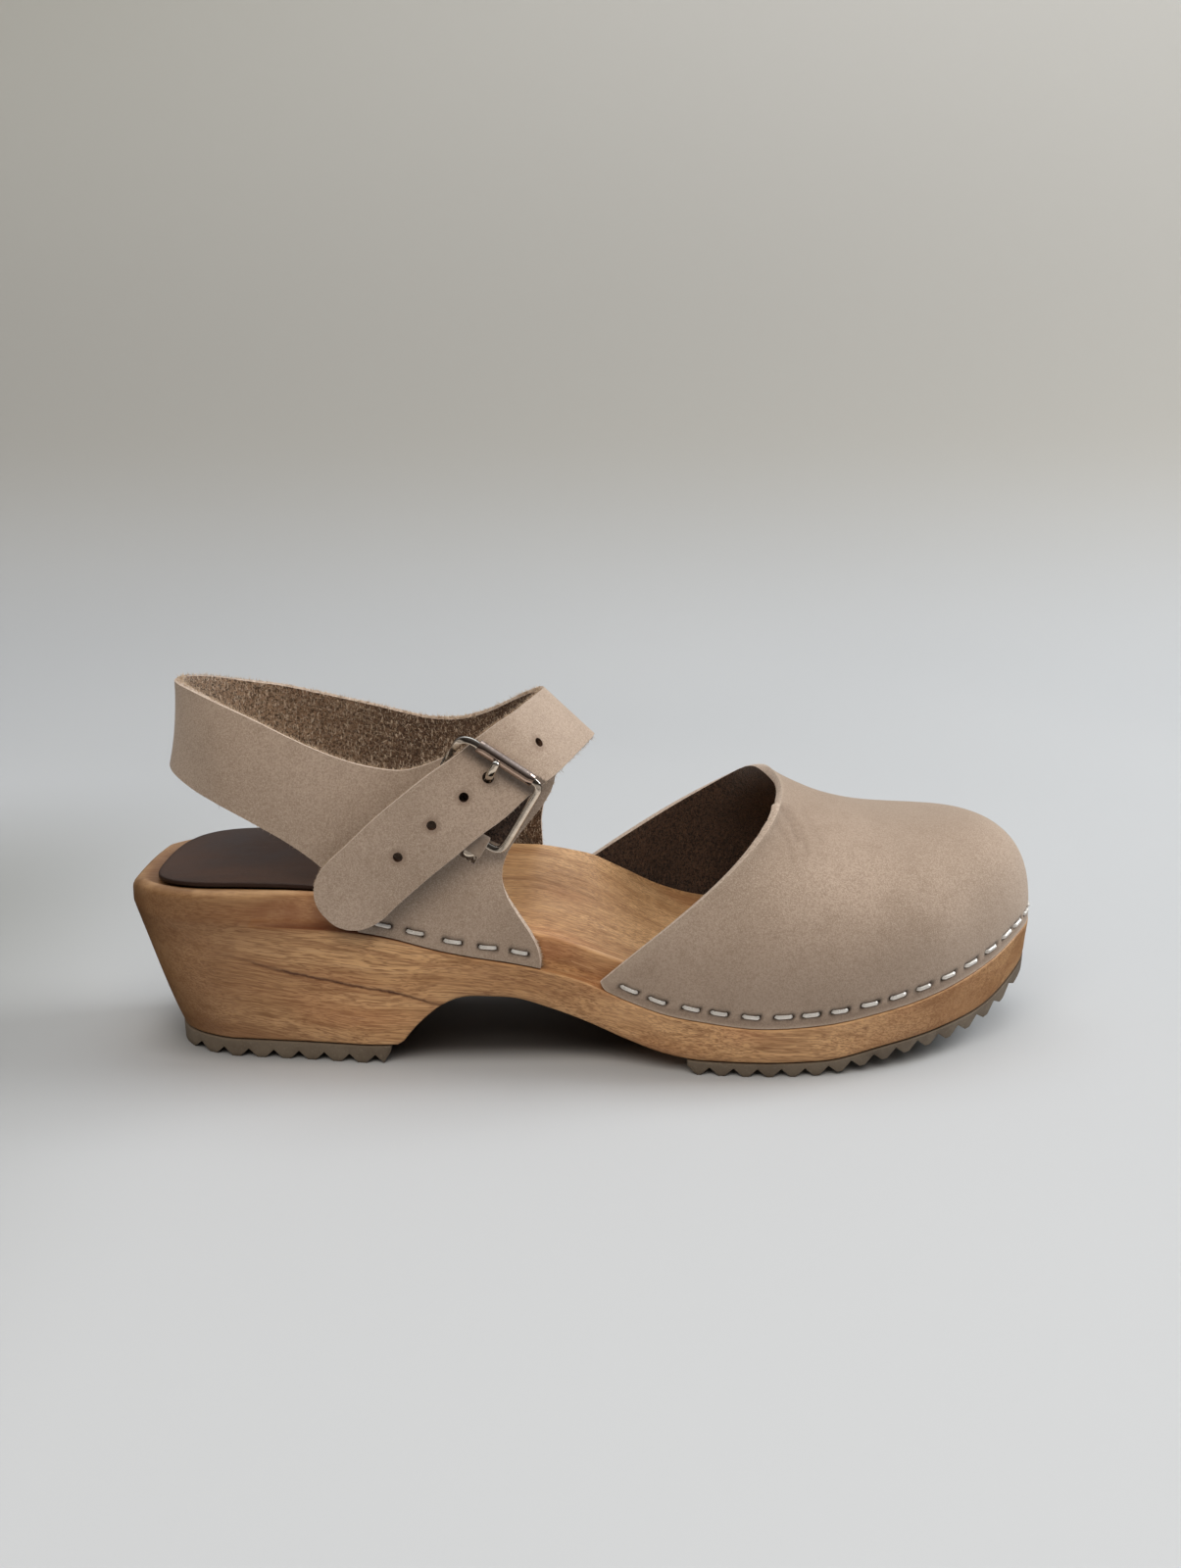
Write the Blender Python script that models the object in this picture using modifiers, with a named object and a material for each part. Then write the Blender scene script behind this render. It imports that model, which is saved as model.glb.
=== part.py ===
"""Right-foot clog with a wooden sole, a stapled leather vamp and a buckled heel strap.

Sizes are written in millimetres in a working frame (x from the back of the heel to the toe,
y towards the inner side of the foot, z up from the ground) and turned into metres when each
object is made. The finished clog stands on its treads with its box centred on the origin.
"""
import math

import bmesh
import bpy
import numpy as np
from mathutils import Vector

def rows(names, *data):
    return {n: np.array([r[i] for r in data], float) for i, n in enumerate(names.split())}


# ---------------------------------------------------------------- driving sizes (mm)
TOE = 249.5               # front of the wood
HEEL_BACK = 1.8           # rearmost point of the heel rim
HEEL_ROUND = 30.0         # length of the rounded back
TOE_ROUND = 52.0          # length of the rounded toe
LEATHER = 2.2             # upper leather
GAP = 0.3                 # clearance between pieces
RABBET = 3.0              # depth of the ledge that takes the leather edge
RABBET_RUNOUT = (36.0, 60.0)
HEEL_LEAN = rows("x lean", (0, 11.4), (8, 11.0), (15, 10.2), (22, 9.0), (28, 7.4), (40, 5.6), (50, 4.2), (60, 2.4), (70, 0.9), (80, 1.0), (96, 1.8), (236, 1.8), (252, 0.8))
HEEL_TREAD = 5.0          # thickness under the heel
HEEL_FRONT = 73.2         # front of the heel tread
HEEL_PITCH, HEEL_FLAT, HEEL_NOTCH, HEEL_FIRST = 6.9, 2.2, 2.3, 20.6
FORE_REAR = 151.0         # rear of the forefoot tread
FORE_PITCH, FORE_FLAT, FORE_NOTCH, FORE_FIRST = 6.15, 1.4, 2.2, 156.7
PAD_THICK = 1.3
PAD_FRONT = 74.0
WIRE = 2.0                # buckle wire diameter
CENTRE = (125.65, 0.8)     # middle of the footprint, moved to the origin
MM = 0.001


# one row per section along the last
SOLE = rows("x half mid ledge bed tilt under",
    (  0.0, 31.0,  0.0, 41.0, 48.2, 0.4,  5.3),
    ( 25.0, 31.0,  0.0, 40.0, 48.2, 0.4,  5.3),
    ( 50.0, 31.5,  0.0, 38.0, 47.4, 1.0,  5.3),
    ( 65.0, 31.3, -0.4, 36.6, 45.4, 2.2,  5.3),
    ( 75.0, 30.9, -0.8, 34.6, 43.4, 3.4,  5.3),
    ( 80.0, 30.8, -1.1, 33.2, 42.4, 4.2, 10.4),
    ( 86.0, 30.8, -1.4, 31.6, 41.2, 5.2, 15.6),
    ( 95.0, 31.0, -1.8, 29.8, 39.4, 6.4, 18.6),
    (105.0, 31.6, -2.1, 28.4, 37.6, 7.8, 18.4),
    (115.0, 33.0, -2.1, 26.6, 35.4, 8.8, 16.0),
    (125.0, 35.4, -2.0, 24.2, 32.6, 8.8, 12.8),
    (135.0, 37.8, -1.8, 20.0, 29.4, 6.8,  8.8),
    (145.0, 40.6, -1.4, 16.8, 26.4, 4.0,  5.6),
    (155.0, 43.0, -0.8, 15.2, 24.0, 2.4,  4.2),
    (170.0, 45.6, -0.2, 13.9, 22.4, 1.4,  4.1),
    (186.0, 46.2,  1.0, 14.6, 22.6, 0.8,  4.3),
    (202.0, 44.6,  2.4, 17.0, 24.4, 0.4,  7.0),
    (218.0, 41.6,  4.0, 20.2, 27.4, 0.2,  9.3),
    (234.0, 37.4,  5.4, 25.0, 31.8, 0.0, 12.8),
    (244.0, 34.4,  6.0, 29.0, 35.4, 0.0, 18.0),
    (250.0, 33.0,  6.2, 30.2, 36.6, 0.0, 21.0),
)
# toe spring of the tread tips
TIPS = rows("x z", (140, 0), (180, 0), (188, 0.5), (196, 1.9), (204, 3.3), (212, 4.6), (220, 5.4),
            (228, 6.8), (234, 8.4), (240, 11.2), (245, 14.2), (250, 17.0))
# crown line of the vamp and the fullness of the sections that meet it
CROWN = rows("x z", (170, 73.8), (177, 70.8), (184, 68.2), (191, 65.4), (199, 62.6), (207, 60.6), (216, 59.6))
VAMP = rows("x full slide puff", (128, 2.55, 1.0, 0.0), (140, 2.5, 0.80, 0.6), (160, 2.45, 0.45, 1.4),
            (185, 2.45, 0.18, 1.8), (210, 2.6, 0.05, 1.0), (235, 2.75, 0.0, 0.2), (250, 2.85, 0.0, 0.0))
VAMP_REAR, VAMP_POLE = 128.6, 216.0
VAMP_INNER_BACK = 4.2     # how much further back the inner corner of the vamp starts
VAMP_INNER_FULL = 0.4     # the collar arch is fuller on the inner side
COLLAR_TOP = 178.2
COLLAR_BOW = 0.0

# the strap piece: outer face, upper and lower edge of each section, with the fullness of the
# section (puff) and how far its middle sits back (bow); seat marks the run held in the rabbet
BAND = rows("xt yt zt xb yb zb puff bow seat",
    (117.6, -22.4,  76.6, 113.0, -34.4, 27.2, 2.8, 12.0, 1),   # front edge of the outer wing
    (111.0, -23.4,  81.6, 105.0, -33.4, 28.6, 2.4,  7.0, 1),
    (102.0, -25.6,  84.6,  96.0, -32.6, 30.2, 1.8,  2.0, 1),
    ( 92.5, -27.6,  83.4,  86.0, -32.0, 32.0, 1.6,  0.0, 1),
    ( 84.0, -28.8,  80.4,  76.0, -31.8, 35.0, 1.5,  0.0, 1),
    ( 77.5, -29.2,  79.2,  68.5, -31.6, 38.4, 1.2,  0.0, 1),
    ( 69.0, -29.0,  80.4,  62.5, -31.4, 47.6, 0.6,  0.0, 0),
    ( 61.6, -28.6,  82.6,  56.6, -31.0, 54.6, 0.5,  0.0, 0),
    ( 54.2, -28.0,  85.6,  49.0, -30.4, 60.4, 0.5,  0.0, 0),
    ( 47.0, -27.2,  89.0,  41.8, -29.6, 64.6, 0.5,  0.0, 0),
    ( 39.6, -25.4,  92.4,  36.0, -27.8, 67.4, 0.5,  0.0, 0),
    ( 31.6, -22.0,  95.4,  29.2, -24.4, 70.2, 0.5,  0.0, 0),
    ( 23.4, -15.4,  97.8,  21.6, -17.2, 72.6, 0.1,  0.0, 0),
    ( 17.2,  -7.6,  99.0,  15.0,  -8.4, 75.2, -0.6,  0.0, 0),
    ( 15.2,   0.4,  99.0,  12.8,   0.0, 76.6, -0.8,  0.0, 0),   # back of the heel
    ( 16.0,   8.4,  98.4,  14.8,   9.0, 75.2, -0.6,  0.0, 0),
    ( 21.4,  17.4,  97.0,  21.0,  18.0, 72.6, 0.1,  0.0, 0),
    ( 29.6,  23.4,  95.0,  29.0,  24.6, 70.0, 0.5,  0.0, 0),
    ( 39.6,  26.8,  93.0,  37.0,  28.0, 67.0, 0.5,  0.0, 0),
    ( 49.4,  28.2,  90.6,  45.0,  29.8, 62.6, 0.5,  0.0, 0),
    ( 58.0,  29.0,  88.4,  53.0,  30.6, 56.6, 0.6,  0.0, 0),
    ( 65.0,  29.6,  86.6,  61.0,  31.0, 48.0, 1.0,  0.0, 0),
    ( 71.0,  30.0,  85.0,  69.0,  31.0, 39.0, 1.6,  0.0, 1),
    ( 75.6,  30.2,  83.8,  80.0,  30.0, 36.5, 2.0,  0.0, 1),
    ( 79.4,  30.2,  83.0,  92.0,  29.4, 36.0, 2.0,  0.0, 1),
    ( 83.0,  29.8,  82.6, 103.0,  29.6, 36.0, 1.8,  0.0, 1),
    ( 86.0,  29.4,  82.6, 112.0,  30.2, 35.8, 1.4,  0.0, 1),
    ( 88.8,  28.6,  82.8, 113.2,  30.6, 42.0, 1.0,  0.0, 0),
    ( 92.0,  27.4,  83.4, 113.0,  30.4, 52.0, 0.6,  0.0, 0),
    ( 96.0,  25.4,  84.8, 114.6,  28.8, 60.0, 0.4,  0.0, 0),   # the instep strap leaves the inner wing
    (100.6,  22.0,  87.0, 117.2,  25.6, 65.8, 0.2,  0.0, 0),
    (105.8,  16.6,  90.2, 120.4,  20.4, 71.4, 0.0,  0.0, 0),
    (110.4,  10.4,  93.2, 124.2,  13.4, 76.6, 0.0,  0.0, 0),
    (113.6,   4.4,  95.2, 127.2,   6.2, 81.2, 0.0,  0.0, 0),
    (114.6,  -1.2,  95.8, 128.2,  -0.6, 82.8, 0.0,  0.0, 0),   # over the instep
    (113.2,  -8.4,  95.6, 126.4,  -8.0, 82.2, 0.0,  0.0, 0),
    (110.4, -18.6,  94.9, 122.8, -18.6, 80.6, 0.0,  0.0, 0),
    (107.2, -27.0,  93.6, 118.6, -27.6, 78.3, 0.0,  0.0, 0),
    (103.4, -31.4,  91.8, 115.0, -31.8, 76.2, 0.0,  0.0, 0),
    ( 98.8, -34.2,  88.8, 111.2, -34.6, 73.8, 0.0,  0.0, 0),   # under the outer bar of the buckle
    ( 92.2, -36.9,  84.0, 104.8, -37.0, 68.4, 0.0,  0.0, 0),
    ( 85.8, -38.2,  79.8,  98.6, -38.6, 64.2, 0.0,  0.0, 0),
    ( 78.8, -38.6,  74.4,  92.0, -39.0, 58.8, 0.0,  0.0, 0),
    ( 71.6, -38.4,  68.4,  84.4, -38.8, 52.6, 0.0,  0.0, 0),
    ( 64.2, -38.0,  61.4,  76.8, -38.2, 45.8, 0.0,  0.0, 0),
    ( 59.0, -37.8,  56.5,  72.7, -37.8, 41.9, 0.0,  0.0, 0),
    ( 56.4, -37.6,  52.5,  68.4, -37.6, 39.6, 0.0,  0.0, 0),
    ( 55.8, -37.5,  48.7,  64.6, -37.5, 39.3, 0.0,  0.0, 0),
    ( 56.5, -37.4,  45.6,  61.6, -37.4, 40.1, 0.0,  0.0, 0),
    ( 57.7, -37.3,  43.5,  59.6, -37.3, 41.4, 0.0,  0.0, 0),   # rounded tip
)
# holes along the strap, tip side first; the fourth takes the prong
HOLES = rows("x z r", (77.6, 58.8, 1.25), (86.4, 67.0, 1.25), (94.6, 74.0, 1.25), (100.8, 78.7, 1.5), (113.4, 85.6, 1.25))

# buckle wire: corners of the frame, with the radius of the bend at each
FRAME = rows("x y z r",
    ( 94.6, -37.0, 89.8, 4.4),    # upper rear corner, over the strap
    (114.0, -37.3, 76.6, 2.2),    # upper front corner
    (103.4, -33.9, 58.4, 3.0),    # lower front corner
    ( 83.4, -33.6, 70.6, 3.0),    # lower rear corner, under the strap
    ( 91.0, -32.0, 84.2, 2.0),    # the rear side dips under the strap here
)
PRONG = rows("x y z", (94.9, -32.2, 66.4), (97.2, -31.6, 71.2), (99.8, -31.2, 76.0), (100.8, -31.9, 78.1),
             (100.9, -34.4, 78.5), (101.0, -36.9, 79.0), (101.4, -38.6, 79.9), (102.0, -39.6, 81.2), (102.9, -40.0, 82.9))
PRONG_R = 0.85
CHAPE_AT, CHAPE_WIDE = 0.30, 5.6          # place along the inner bar and width
CHAPE_THICK = 0.8
RIVET = (95.0, 60.4, 2.0)                 # x, z, radius of the cap
ROLLER = (0.20, 0.90)                     # run of the roller along the outer bar
ROLLER_IN, ROLLER_OUT = 1.3, 1.6          # its two radii


def look(t, col, x, key="x", even=True):
    """Smooth table lookup through the rows; even keeps it from swinging past them."""
    xs, ys = t[key], t[col]
    x = np.clip(np.asarray(x, float), xs[0], xs[-1])
    m = np.gradient(ys, xs)
    if even:
        d = np.diff(ys)/np.diff(xs)
        flat = d[:-1]*d[1:] <= 0
        big = 3*np.minimum(np.abs(d[:-1]), np.abs(d[1:]))
        m[1:-1] = np.where(flat, 0.0, np.clip(m[1:-1], -big, big))
    i = np.clip(np.searchsorted(xs, x) - 1, 0, len(xs) - 2)
    h = xs[i + 1] - xs[i]
    u = (x - xs[i]) / h
    a, b = ys[i], ys[i + 1]
    return ((2*u**3 - 3*u**2 + 1)*a + (u**3 - 2*u**2 + u)*h*m[i]
            + (-2*u**3 + 3*u**2)*b + (u**3 - u**2)*h*m[i + 1])


def smooth(a, b, x):
    u = np.clip((np.asarray(x, float) - a) / (b - a), 0, 1)
    return u*u*(3 - 2*u)


def half(x):
    x = np.asarray(x, float)
    a = np.clip(1 - (x - HEEL_BACK) / HEEL_ROUND, 0, 1)
    b = np.clip(1 - (TOE - x) / TOE_ROUND, 0, 1)
    return look(SOLE, "half", x) * (1 - a**2.3)**(1/2.3) * (1 - b**2.35)**(1/2.35)


def outline(n_heel=14, n_mid=26, n_toe=16):
    """Closed footprint loop from the heel, along the outer side, round the toe and back."""
    a = HEEL_BACK + HEEL_ROUND * (1 - np.cos(np.linspace(0, math.pi/2, n_heel + 1)))
    m = np.linspace(HEEL_BACK + HEEL_ROUND, TOE - TOE_ROUND, n_mid + 1)
    t = TOE - TOE_ROUND * (1 - np.cos(np.linspace(math.pi/2, 0, n_toe + 1)))
    x = np.concatenate([a, m[1:], t[1:]])
    near = np.stack([x, look(SOLE, "mid", x) - half(x)], 1)
    far = np.stack([x, look(SOLE, "mid", x) + half(x)], 1)[1:-1][::-1]
    near[0, 1] = near[-1, 1] = 0
    near[0] = (HEEL_BACK, look(SOLE, "mid", HEEL_BACK))
    near[-1] = (TOE, look(SOLE, "mid", TOE))
    p = np.concatenate([near, far])
    d = np.roll(p, -1, 0) - np.roll(p, 1, 0)
    n = np.stack([d[:, 1], -d[:, 0]], 1)
    n /= np.linalg.norm(n, axis=1)[:, None]
    side = np.concatenate([-np.ones(len(near)), np.ones(len(far))])
    side[0] = side[len(near) - 1] = 0
    return p, n, side


def spine(x):
    xs = np.clip(x, 26.0, 214.0)
    return np.stack([xs, look(SOLE, "mid", xs)], 1)


def across(x, y):
    """-1 at the outer edge, +1 at the inner edge."""
    return np.clip((y - look(SOLE, "mid", x)) / np.maximum(half(np.clip(x, 6, 238)), 1), -1, 1)


def bed_z(x, y):
    e = across(x, y)
    s = 0.5 + 0.75*e - 0.25*e**3
    cup = 2.6*smooth(110, 60, x) + 1.2*smooth(110, 150, x)
    return look(SOLE, "bed", x) + look(SOLE, "tilt", x)*s - cup*(1 - e*e)


def ledge_z(x, y):
    e = across(x, y)
    return look(SOLE, "ledge", x) + 1.3*look(SOLE, "tilt", x)*(0.5 + 0.5*e)


def under_z(x, y):
    e = across(x, y)
    return look(SOLE, "under", x) + 0.35*look(SOLE, "tilt", x)*(0.5 + 0.5*e)*smooth(76, 90, x)*smooth(150, 130, x)


def bottom_loop(p, n, proud=0.0):
    """Footprint at the underside of the wood, leaned in under the heel."""
    lean = look(HEEL_LEAN, "lean", p[:, 0])
    return p - n*(lean - proud)[:, None]


def skin(rings, closed_ends=True):
    """Quads between equal loops; each loop wraps round."""
    n = len(rings[0])
    v = np.concatenate(rings)
    f = []
    for k in range(len(rings) - 1):
        for i in range(n):
            j = (i + 1) % n
            f.append((k*n + i, k*n + j, (k + 1)*n + j, (k + 1)*n + i))
    return v, f


def make(name, verts, faces, mat, merge=0.00008):
    me = bpy.data.meshes.new(name)
    v = (np.asarray(verts, float) - np.array([CENTRE[0], CENTRE[1], 0.0]))*MM
    me.from_pydata([tuple(c) for c in v.tolist()], [], faces)
    ob = bpy.data.objects.new(name, me)
    bpy.context.scene.collection.objects.link(ob)
    bm = bmesh.new()
    bm.from_mesh(me)
    bmesh.ops.remove_doubles(bm, verts=bm.verts, dist=merge)
    bmesh.ops.dissolve_degenerate(bm, edges=bm.edges, dist=0.00001)
    bmesh.ops.recalc_face_normals(bm, faces=bm.faces)
    bm.to_mesh(me)
    bm.free()
    me.materials.append(mat)
    for f in me.polygons:
        f.use_smooth = True
    return ob


def material(name, colour, rough, metal=0.0):
    m = bpy.data.materials.new(name)
    m.use_nodes = True
    b = m.node_tree.nodes["Principled BSDF"]
    b.inputs["Base Color"].default_value = (*colour, 1)
    b.inputs["Roughness"].default_value = rough
    b.inputs["Metallic"].default_value = metal
    return m


def with_z(p, z):
    return np.column_stack([p, z])


# ---------------------------------------------------------------- wooden sole
def sole_rings():
    p, n, side = outline()
    x, y = p[:, 0], p[:, 1]
    sp = spine(x)
    bot = bottom_loop(p, n)
    rings = []

    def low(k):
        q = sp + (bot - sp)*k
        return with_z(q, under_z(q[:, 0], q[:, 1]))
    for k in (0.0, 0.45, 0.8, 0.985):
        rings.append(low(k))
    zb, zl = under_z(bot[:, 0], bot[:, 1]), ledge_z(x, y)
    rings.append(with_z(bot + n*0.15, zb + 0.7))
    for t in (0.3, 0.62):
        rings.append(with_z(bot + (p - bot)*(t**0.9), zb + (zl - zb)*t))
    rings.append(with_z(p, zl))
    cut = RABBET*smooth(*RABBET_RUNOUT, x)
    inner = p - n*cut[:, None]
    rings.append(with_z(inner, zl))
    zr = bed_z(x, y)
    rings.append(with_z(inner, zr - 1.1))
    rings.append(with_z(inner - n*1.1, zr))
    rim = inner - n*1.1
    for k in (0.86, 0.62, 0.32, 0.0):
        q = sp + (rim - sp)*k
        rings.append(with_z(q, bed_z(q[:, 0], q[:, 1])))
    return rings


# ---------------------------------------------------------------- treads
def tread(name, mat, xs, zlow, ztop, loop_pts, proud):
    """Cross sections from back to front: width from the footprint, teeth below, wood line above."""
    lp = loop_pts
    n = len(lp)//2
    near = lp[:n + 1]
    far = np.concatenate([lp[:1], lp[n:][::-1]])
    near = near[np.argsort(near[:, 0])]
    far = far[np.argsort(far[:, 0])]
    ya = np.interp(xs, near[:, 0], near[:, 1]) - proud
    yb = np.interp(xs, far[:, 0], far[:, 1]) + proud
    rings = []
    for i, x in enumerate(xs):
        pts = []
        draft = min(0.8, 0.2*(yb[i] - ya[i]))
        for f in (0.0, 0.5, 1.0):
            pts.append((x, ya[i] + draft + (yb[i] - ya[i] - 2*draft)*f, zlow[i]))
        for f in (1.0, 0.5, 0.0):
            yy = ya[i] + (yb[i] - ya[i])*f
            pts.append((x, yy, ztop(x, yy)))
        rings.append(np.array(pts))
    v, f = skin(rings)
    m = len(rings[0])
    last = (len(rings) - 1)*m
    f.append(tuple(range(m))[::-1])
    f.append(tuple(last + i for i in range(m)))
    return make(name, v, f, mat)


def teeth(x0, x1, pitch, flat, depth, first, line):
    """Stations along a saw-toothed underside and how far each is lifted; the pitch runs along the line."""
    fine = np.linspace(x0, x1, 400)
    arc = np.concatenate([[0], np.cumsum(np.hypot(np.diff(fine), np.diff(line(fine))))])
    a, b = float(np.interp(first, fine, arc)), arc[-1]
    half_v = (pitch - flat)/2
    while a - pitch - half_v > 0.6:
        a -= pitch
    ss, up = [0.0], [0.0]
    while a + half_v < b - 0.6:
        ss += [a - half_v, a, a + half_v]
        up += [0.0, depth, 0.0]
        a += pitch
    ss.append(b)
    up.append(0.0)
    return np.interp(ss, arc, fine), np.array(up)


def blend_stations(xs, up, extra):
    """Extra stations where the footprint curves, on the same tooth line."""
    allx = np.unique(np.concatenate([xs, [e for e in extra if np.min(np.abs(xs - e)) > 0.25]]))
    return allx, np.interp(allx, xs, up)


# ---------------------------------------------------------------- vamp
def vamp_surface(n_rib=12):
    """Sections fan from the open throat to the toe; each rises from the rabbet to the crown."""
    run = np.concatenate([np.linspace(VAMP_REAR, TOE - TOE_ROUND, 15),
                          TOE - TOE_ROUND*(1 - np.cos(np.linspace(math.pi/2, 0, 19)[1:]))])
    inner = run[:-1][::-1]
    inner_x = inner - VAMP_INNER_BACK*(1 - smooth(VAMP_REAR, 165.0, inner))
    p = np.concatenate([np.stack([run, look(SOLE, "mid", run) - half(run)], 1),
                        np.stack([inner_x, look(SOLE, "mid", inner_x) + half(inner_x)], 1)])
    d = np.gradient(p, axis=0)
    n = np.stack([d[:, 1], -d[:, 0]], 1)
    n /= np.linalg.norm(n, axis=1)[:, None]
    base = p - n*0.1
    x = np.concatenate([run, inner])
    u = np.clip((x - VAMP_REAR)/(228.0 - VAMP_REAR), 0, 1)
    xc = COLLAR_TOP + (VAMP_POLE - COLLAR_TOP)*u**0.95
    yc = look(SOLE, "mid", xc)*0.55
    zc = look(CROWN, "z", xc)
    zb = ledge_z(base[:, 0], p[:, 1]) + GAP
    zb[0] += 1.6
    zb[-1] += 1.6
    sgn = np.where(p[:, 1] > look(SOLE, "mid", base[:, 0]), 1.0, -1.0)
    full, slide, puff = (look(VAMP, c, x) for c in ("full", "slide", "puff"))
    full = full + np.where(sgn > 0, VAMP_INNER_FULL*(1 - smooth(150, 200, x)), 0)
    rings = []
    for k in range(n_rib + 1):
        th = k/n_rib*math.pi/2
        lift = np.sin(th)**(2/full)
        left = np.cos(th)**(2/full) if k < n_rib else np.zeros(len(x))
        go = 1 - left
        # the section slides forward along the footprint as it rises, then closes on the crown
        xs = base[:, 0] + slide*((xc - base[:, 0])*lift + COLLAR_BOW*4*lift*(1 - lift))
        ys = np.where(slide > 0.001, look(SOLE, "mid", xs) + sgn*(half(xs) - 0.1), base[:, 1])
        ys = base[:, 1] + (ys - base[:, 1])*smooth(0.0, 0.12, slide)
        px = xs + (xc - xs)*go
        py = ys + (yc - ys)*go
        b_ = puff*np.sin(math.pi*np.clip(lift, 0, 1))**1.2
        rings.append(np.stack([px + n[:, 0]*b_, py + n[:, 1]*b_, zb + (zc - zb)*lift], 1))
    m = len(x)
    v = np.concatenate(rings)
    f = []
    for k in range(n_rib):
        for i in range(m - 1):
            f.append((k*m + i, k*m + i + 1, (k + 1)*m + i + 1, (k + 1)*m + i))
    return v, f


def thicken(ob, thick, offset):
    s = ob.modifiers.new("thickness", "SOLIDIFY")
    s.thickness = thick*MM
    s.offset = offset
    s.use_even_offset = True
    s.use_rim = True
    return ob


# ---------------------------------------------------------------- strap piece
def band_point(t, fine):
    """Each column of the strap table read smoothly at the given fractions of its rows."""
    n = len(BAND["xt"])
    k = np.linspace(0, n - 1, fine)
    t_ = {c: BAND[c] for c in BAND}
    t_["k"] = np.arange(n, dtype=float)
    return {c: look(t_, c, k, key="k", even=c in ("seat", "bow", "puff")) for c in BAND}


def band_surface(per_row=2, n_across=5):
    n = len(BAND["xt"])
    c = band_point(None, (n - 1)*per_row + 1)
    top = np.stack([c["xt"], c["yt"], c["zt"]], 1)
    bot = np.stack([c["xb"], c["yb"], c["zb"]], 1)
    seat = c["seat"] > 0.55
    sgn = np.where(bot[:, 1] > 0, 1.0, -1.0)
    seat_y = look(SOLE, "mid", bot[:, 0]) + sgn*(half(bot[:, 0]) - 0.1)
    bot[seat, 1] = seat_y[seat]
    bot[seat, 2] = (ledge_z(bot[:, 0], seat_y) + 1.5*GAP)[seat]
    mid = (top + bot)/2
    run = np.gradient(mid, axis=0)
    run /= np.linalg.norm(run, axis=1)[:, None]
    up = top - bot
    nrm = np.cross(up, run)
    nrm /= np.linalg.norm(nrm, axis=1)[:, None]
    v = []
    for j in range(len(top)):
        for k in range(n_across + 1):
            t = k/n_across
            hump = 4*t*(1 - t)
            q = bot[j] + (top[j] - bot[j])*t + nrm[j]*c["puff"][j]*hump
            q = q + np.array([-1.0, 0, 0])*c["bow"][j]*hump**2.4
            v.append(q)
    m = n_across + 1
    f = []
    for j in range(len(top) - 1):
        for k in range(n_across):
            a = j*m + k
            f.append((a, a + m, a + m + 1, a + 1))
    return np.array(v), f


def face_out(ob, centre):
    """Open sheets: make the outer face point away from the middle of the shoe."""
    me = ob.data
    bm = bmesh.new()
    bm.from_mesh(me)
    s = 0.0
    for fc in bm.faces:
        s += (fc.calc_center_median() - centre).dot(fc.normal)*fc.calc_area()
    if s < 0:
        bmesh.ops.reverse_faces(bm, faces=bm.faces)
    bm.to_mesh(me)
    bm.free()


def at(x, y, z):
    return Vector(((x - CENTRE[0])*MM, (y - CENTRE[1])*MM, z*MM))


def tube(name, pts, r, mat, closed=False, taper_end=None):
    cu = bpy.data.curves.new(name, "CURVE")
    cu.dimensions = "3D"
    cu.bevel_depth = r*MM
    cu.bevel_resolution = 2
    cu.use_fill_caps = True
    sp = cu.splines.new("POLY")
    sp.points.add(len(pts) - 1)
    for i, q in enumerate(pts):
        sp.points[i].co = (*at(*q), 1)
        if taper_end and i == len(pts) - 1:
            sp.points[i].radius = taper_end
    sp.use_cyclic_u = closed
    ob = bpy.data.objects.new(name, cu)
    bpy.context.scene.collection.objects.link(ob)
    cu.materials.append(mat)
    return ob


def fine_path(t, per, closed=False):
    x = np.stack([t["x"], t["y"], t["z"]], 1)
    if closed:
        x = np.concatenate([x[-2:], x, x[:3]])
    k = {"k": np.arange(len(x), dtype=float), "x": x[:, 0], "y": x[:, 1], "z": x[:, 2]}
    lo, hi = (2, len(x) - 3) if closed else (0, len(x) - 1)
    q = np.linspace(lo, hi, (hi - lo)*per + 1)
    if closed:
        q = q[:-1]
    return np.stack([look(k, c, q, key="k", even=False) for c in "xyz"], 1)


def rounded_loop(t, steps=4):
    """Closed wire path: straight bars joined by bends."""
    c = np.stack([t["x"], t["y"], t["z"]], 1)
    out = []
    for i in range(len(c)):
        a, b, d = c[i - 1], c[i], c[(i + 1) % len(c)]
        u = (a - b)/np.linalg.norm(a - b)
        w = (d - b)/np.linalg.norm(d - b)
        r = t["r"][i]
        for k in range(steps + 1):
            s = k/steps
            out.append((1 - s)**2*(b + u*r) + 2*s*(1 - s)*b + s*s*(b + w*r))
    return np.array(out)


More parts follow.
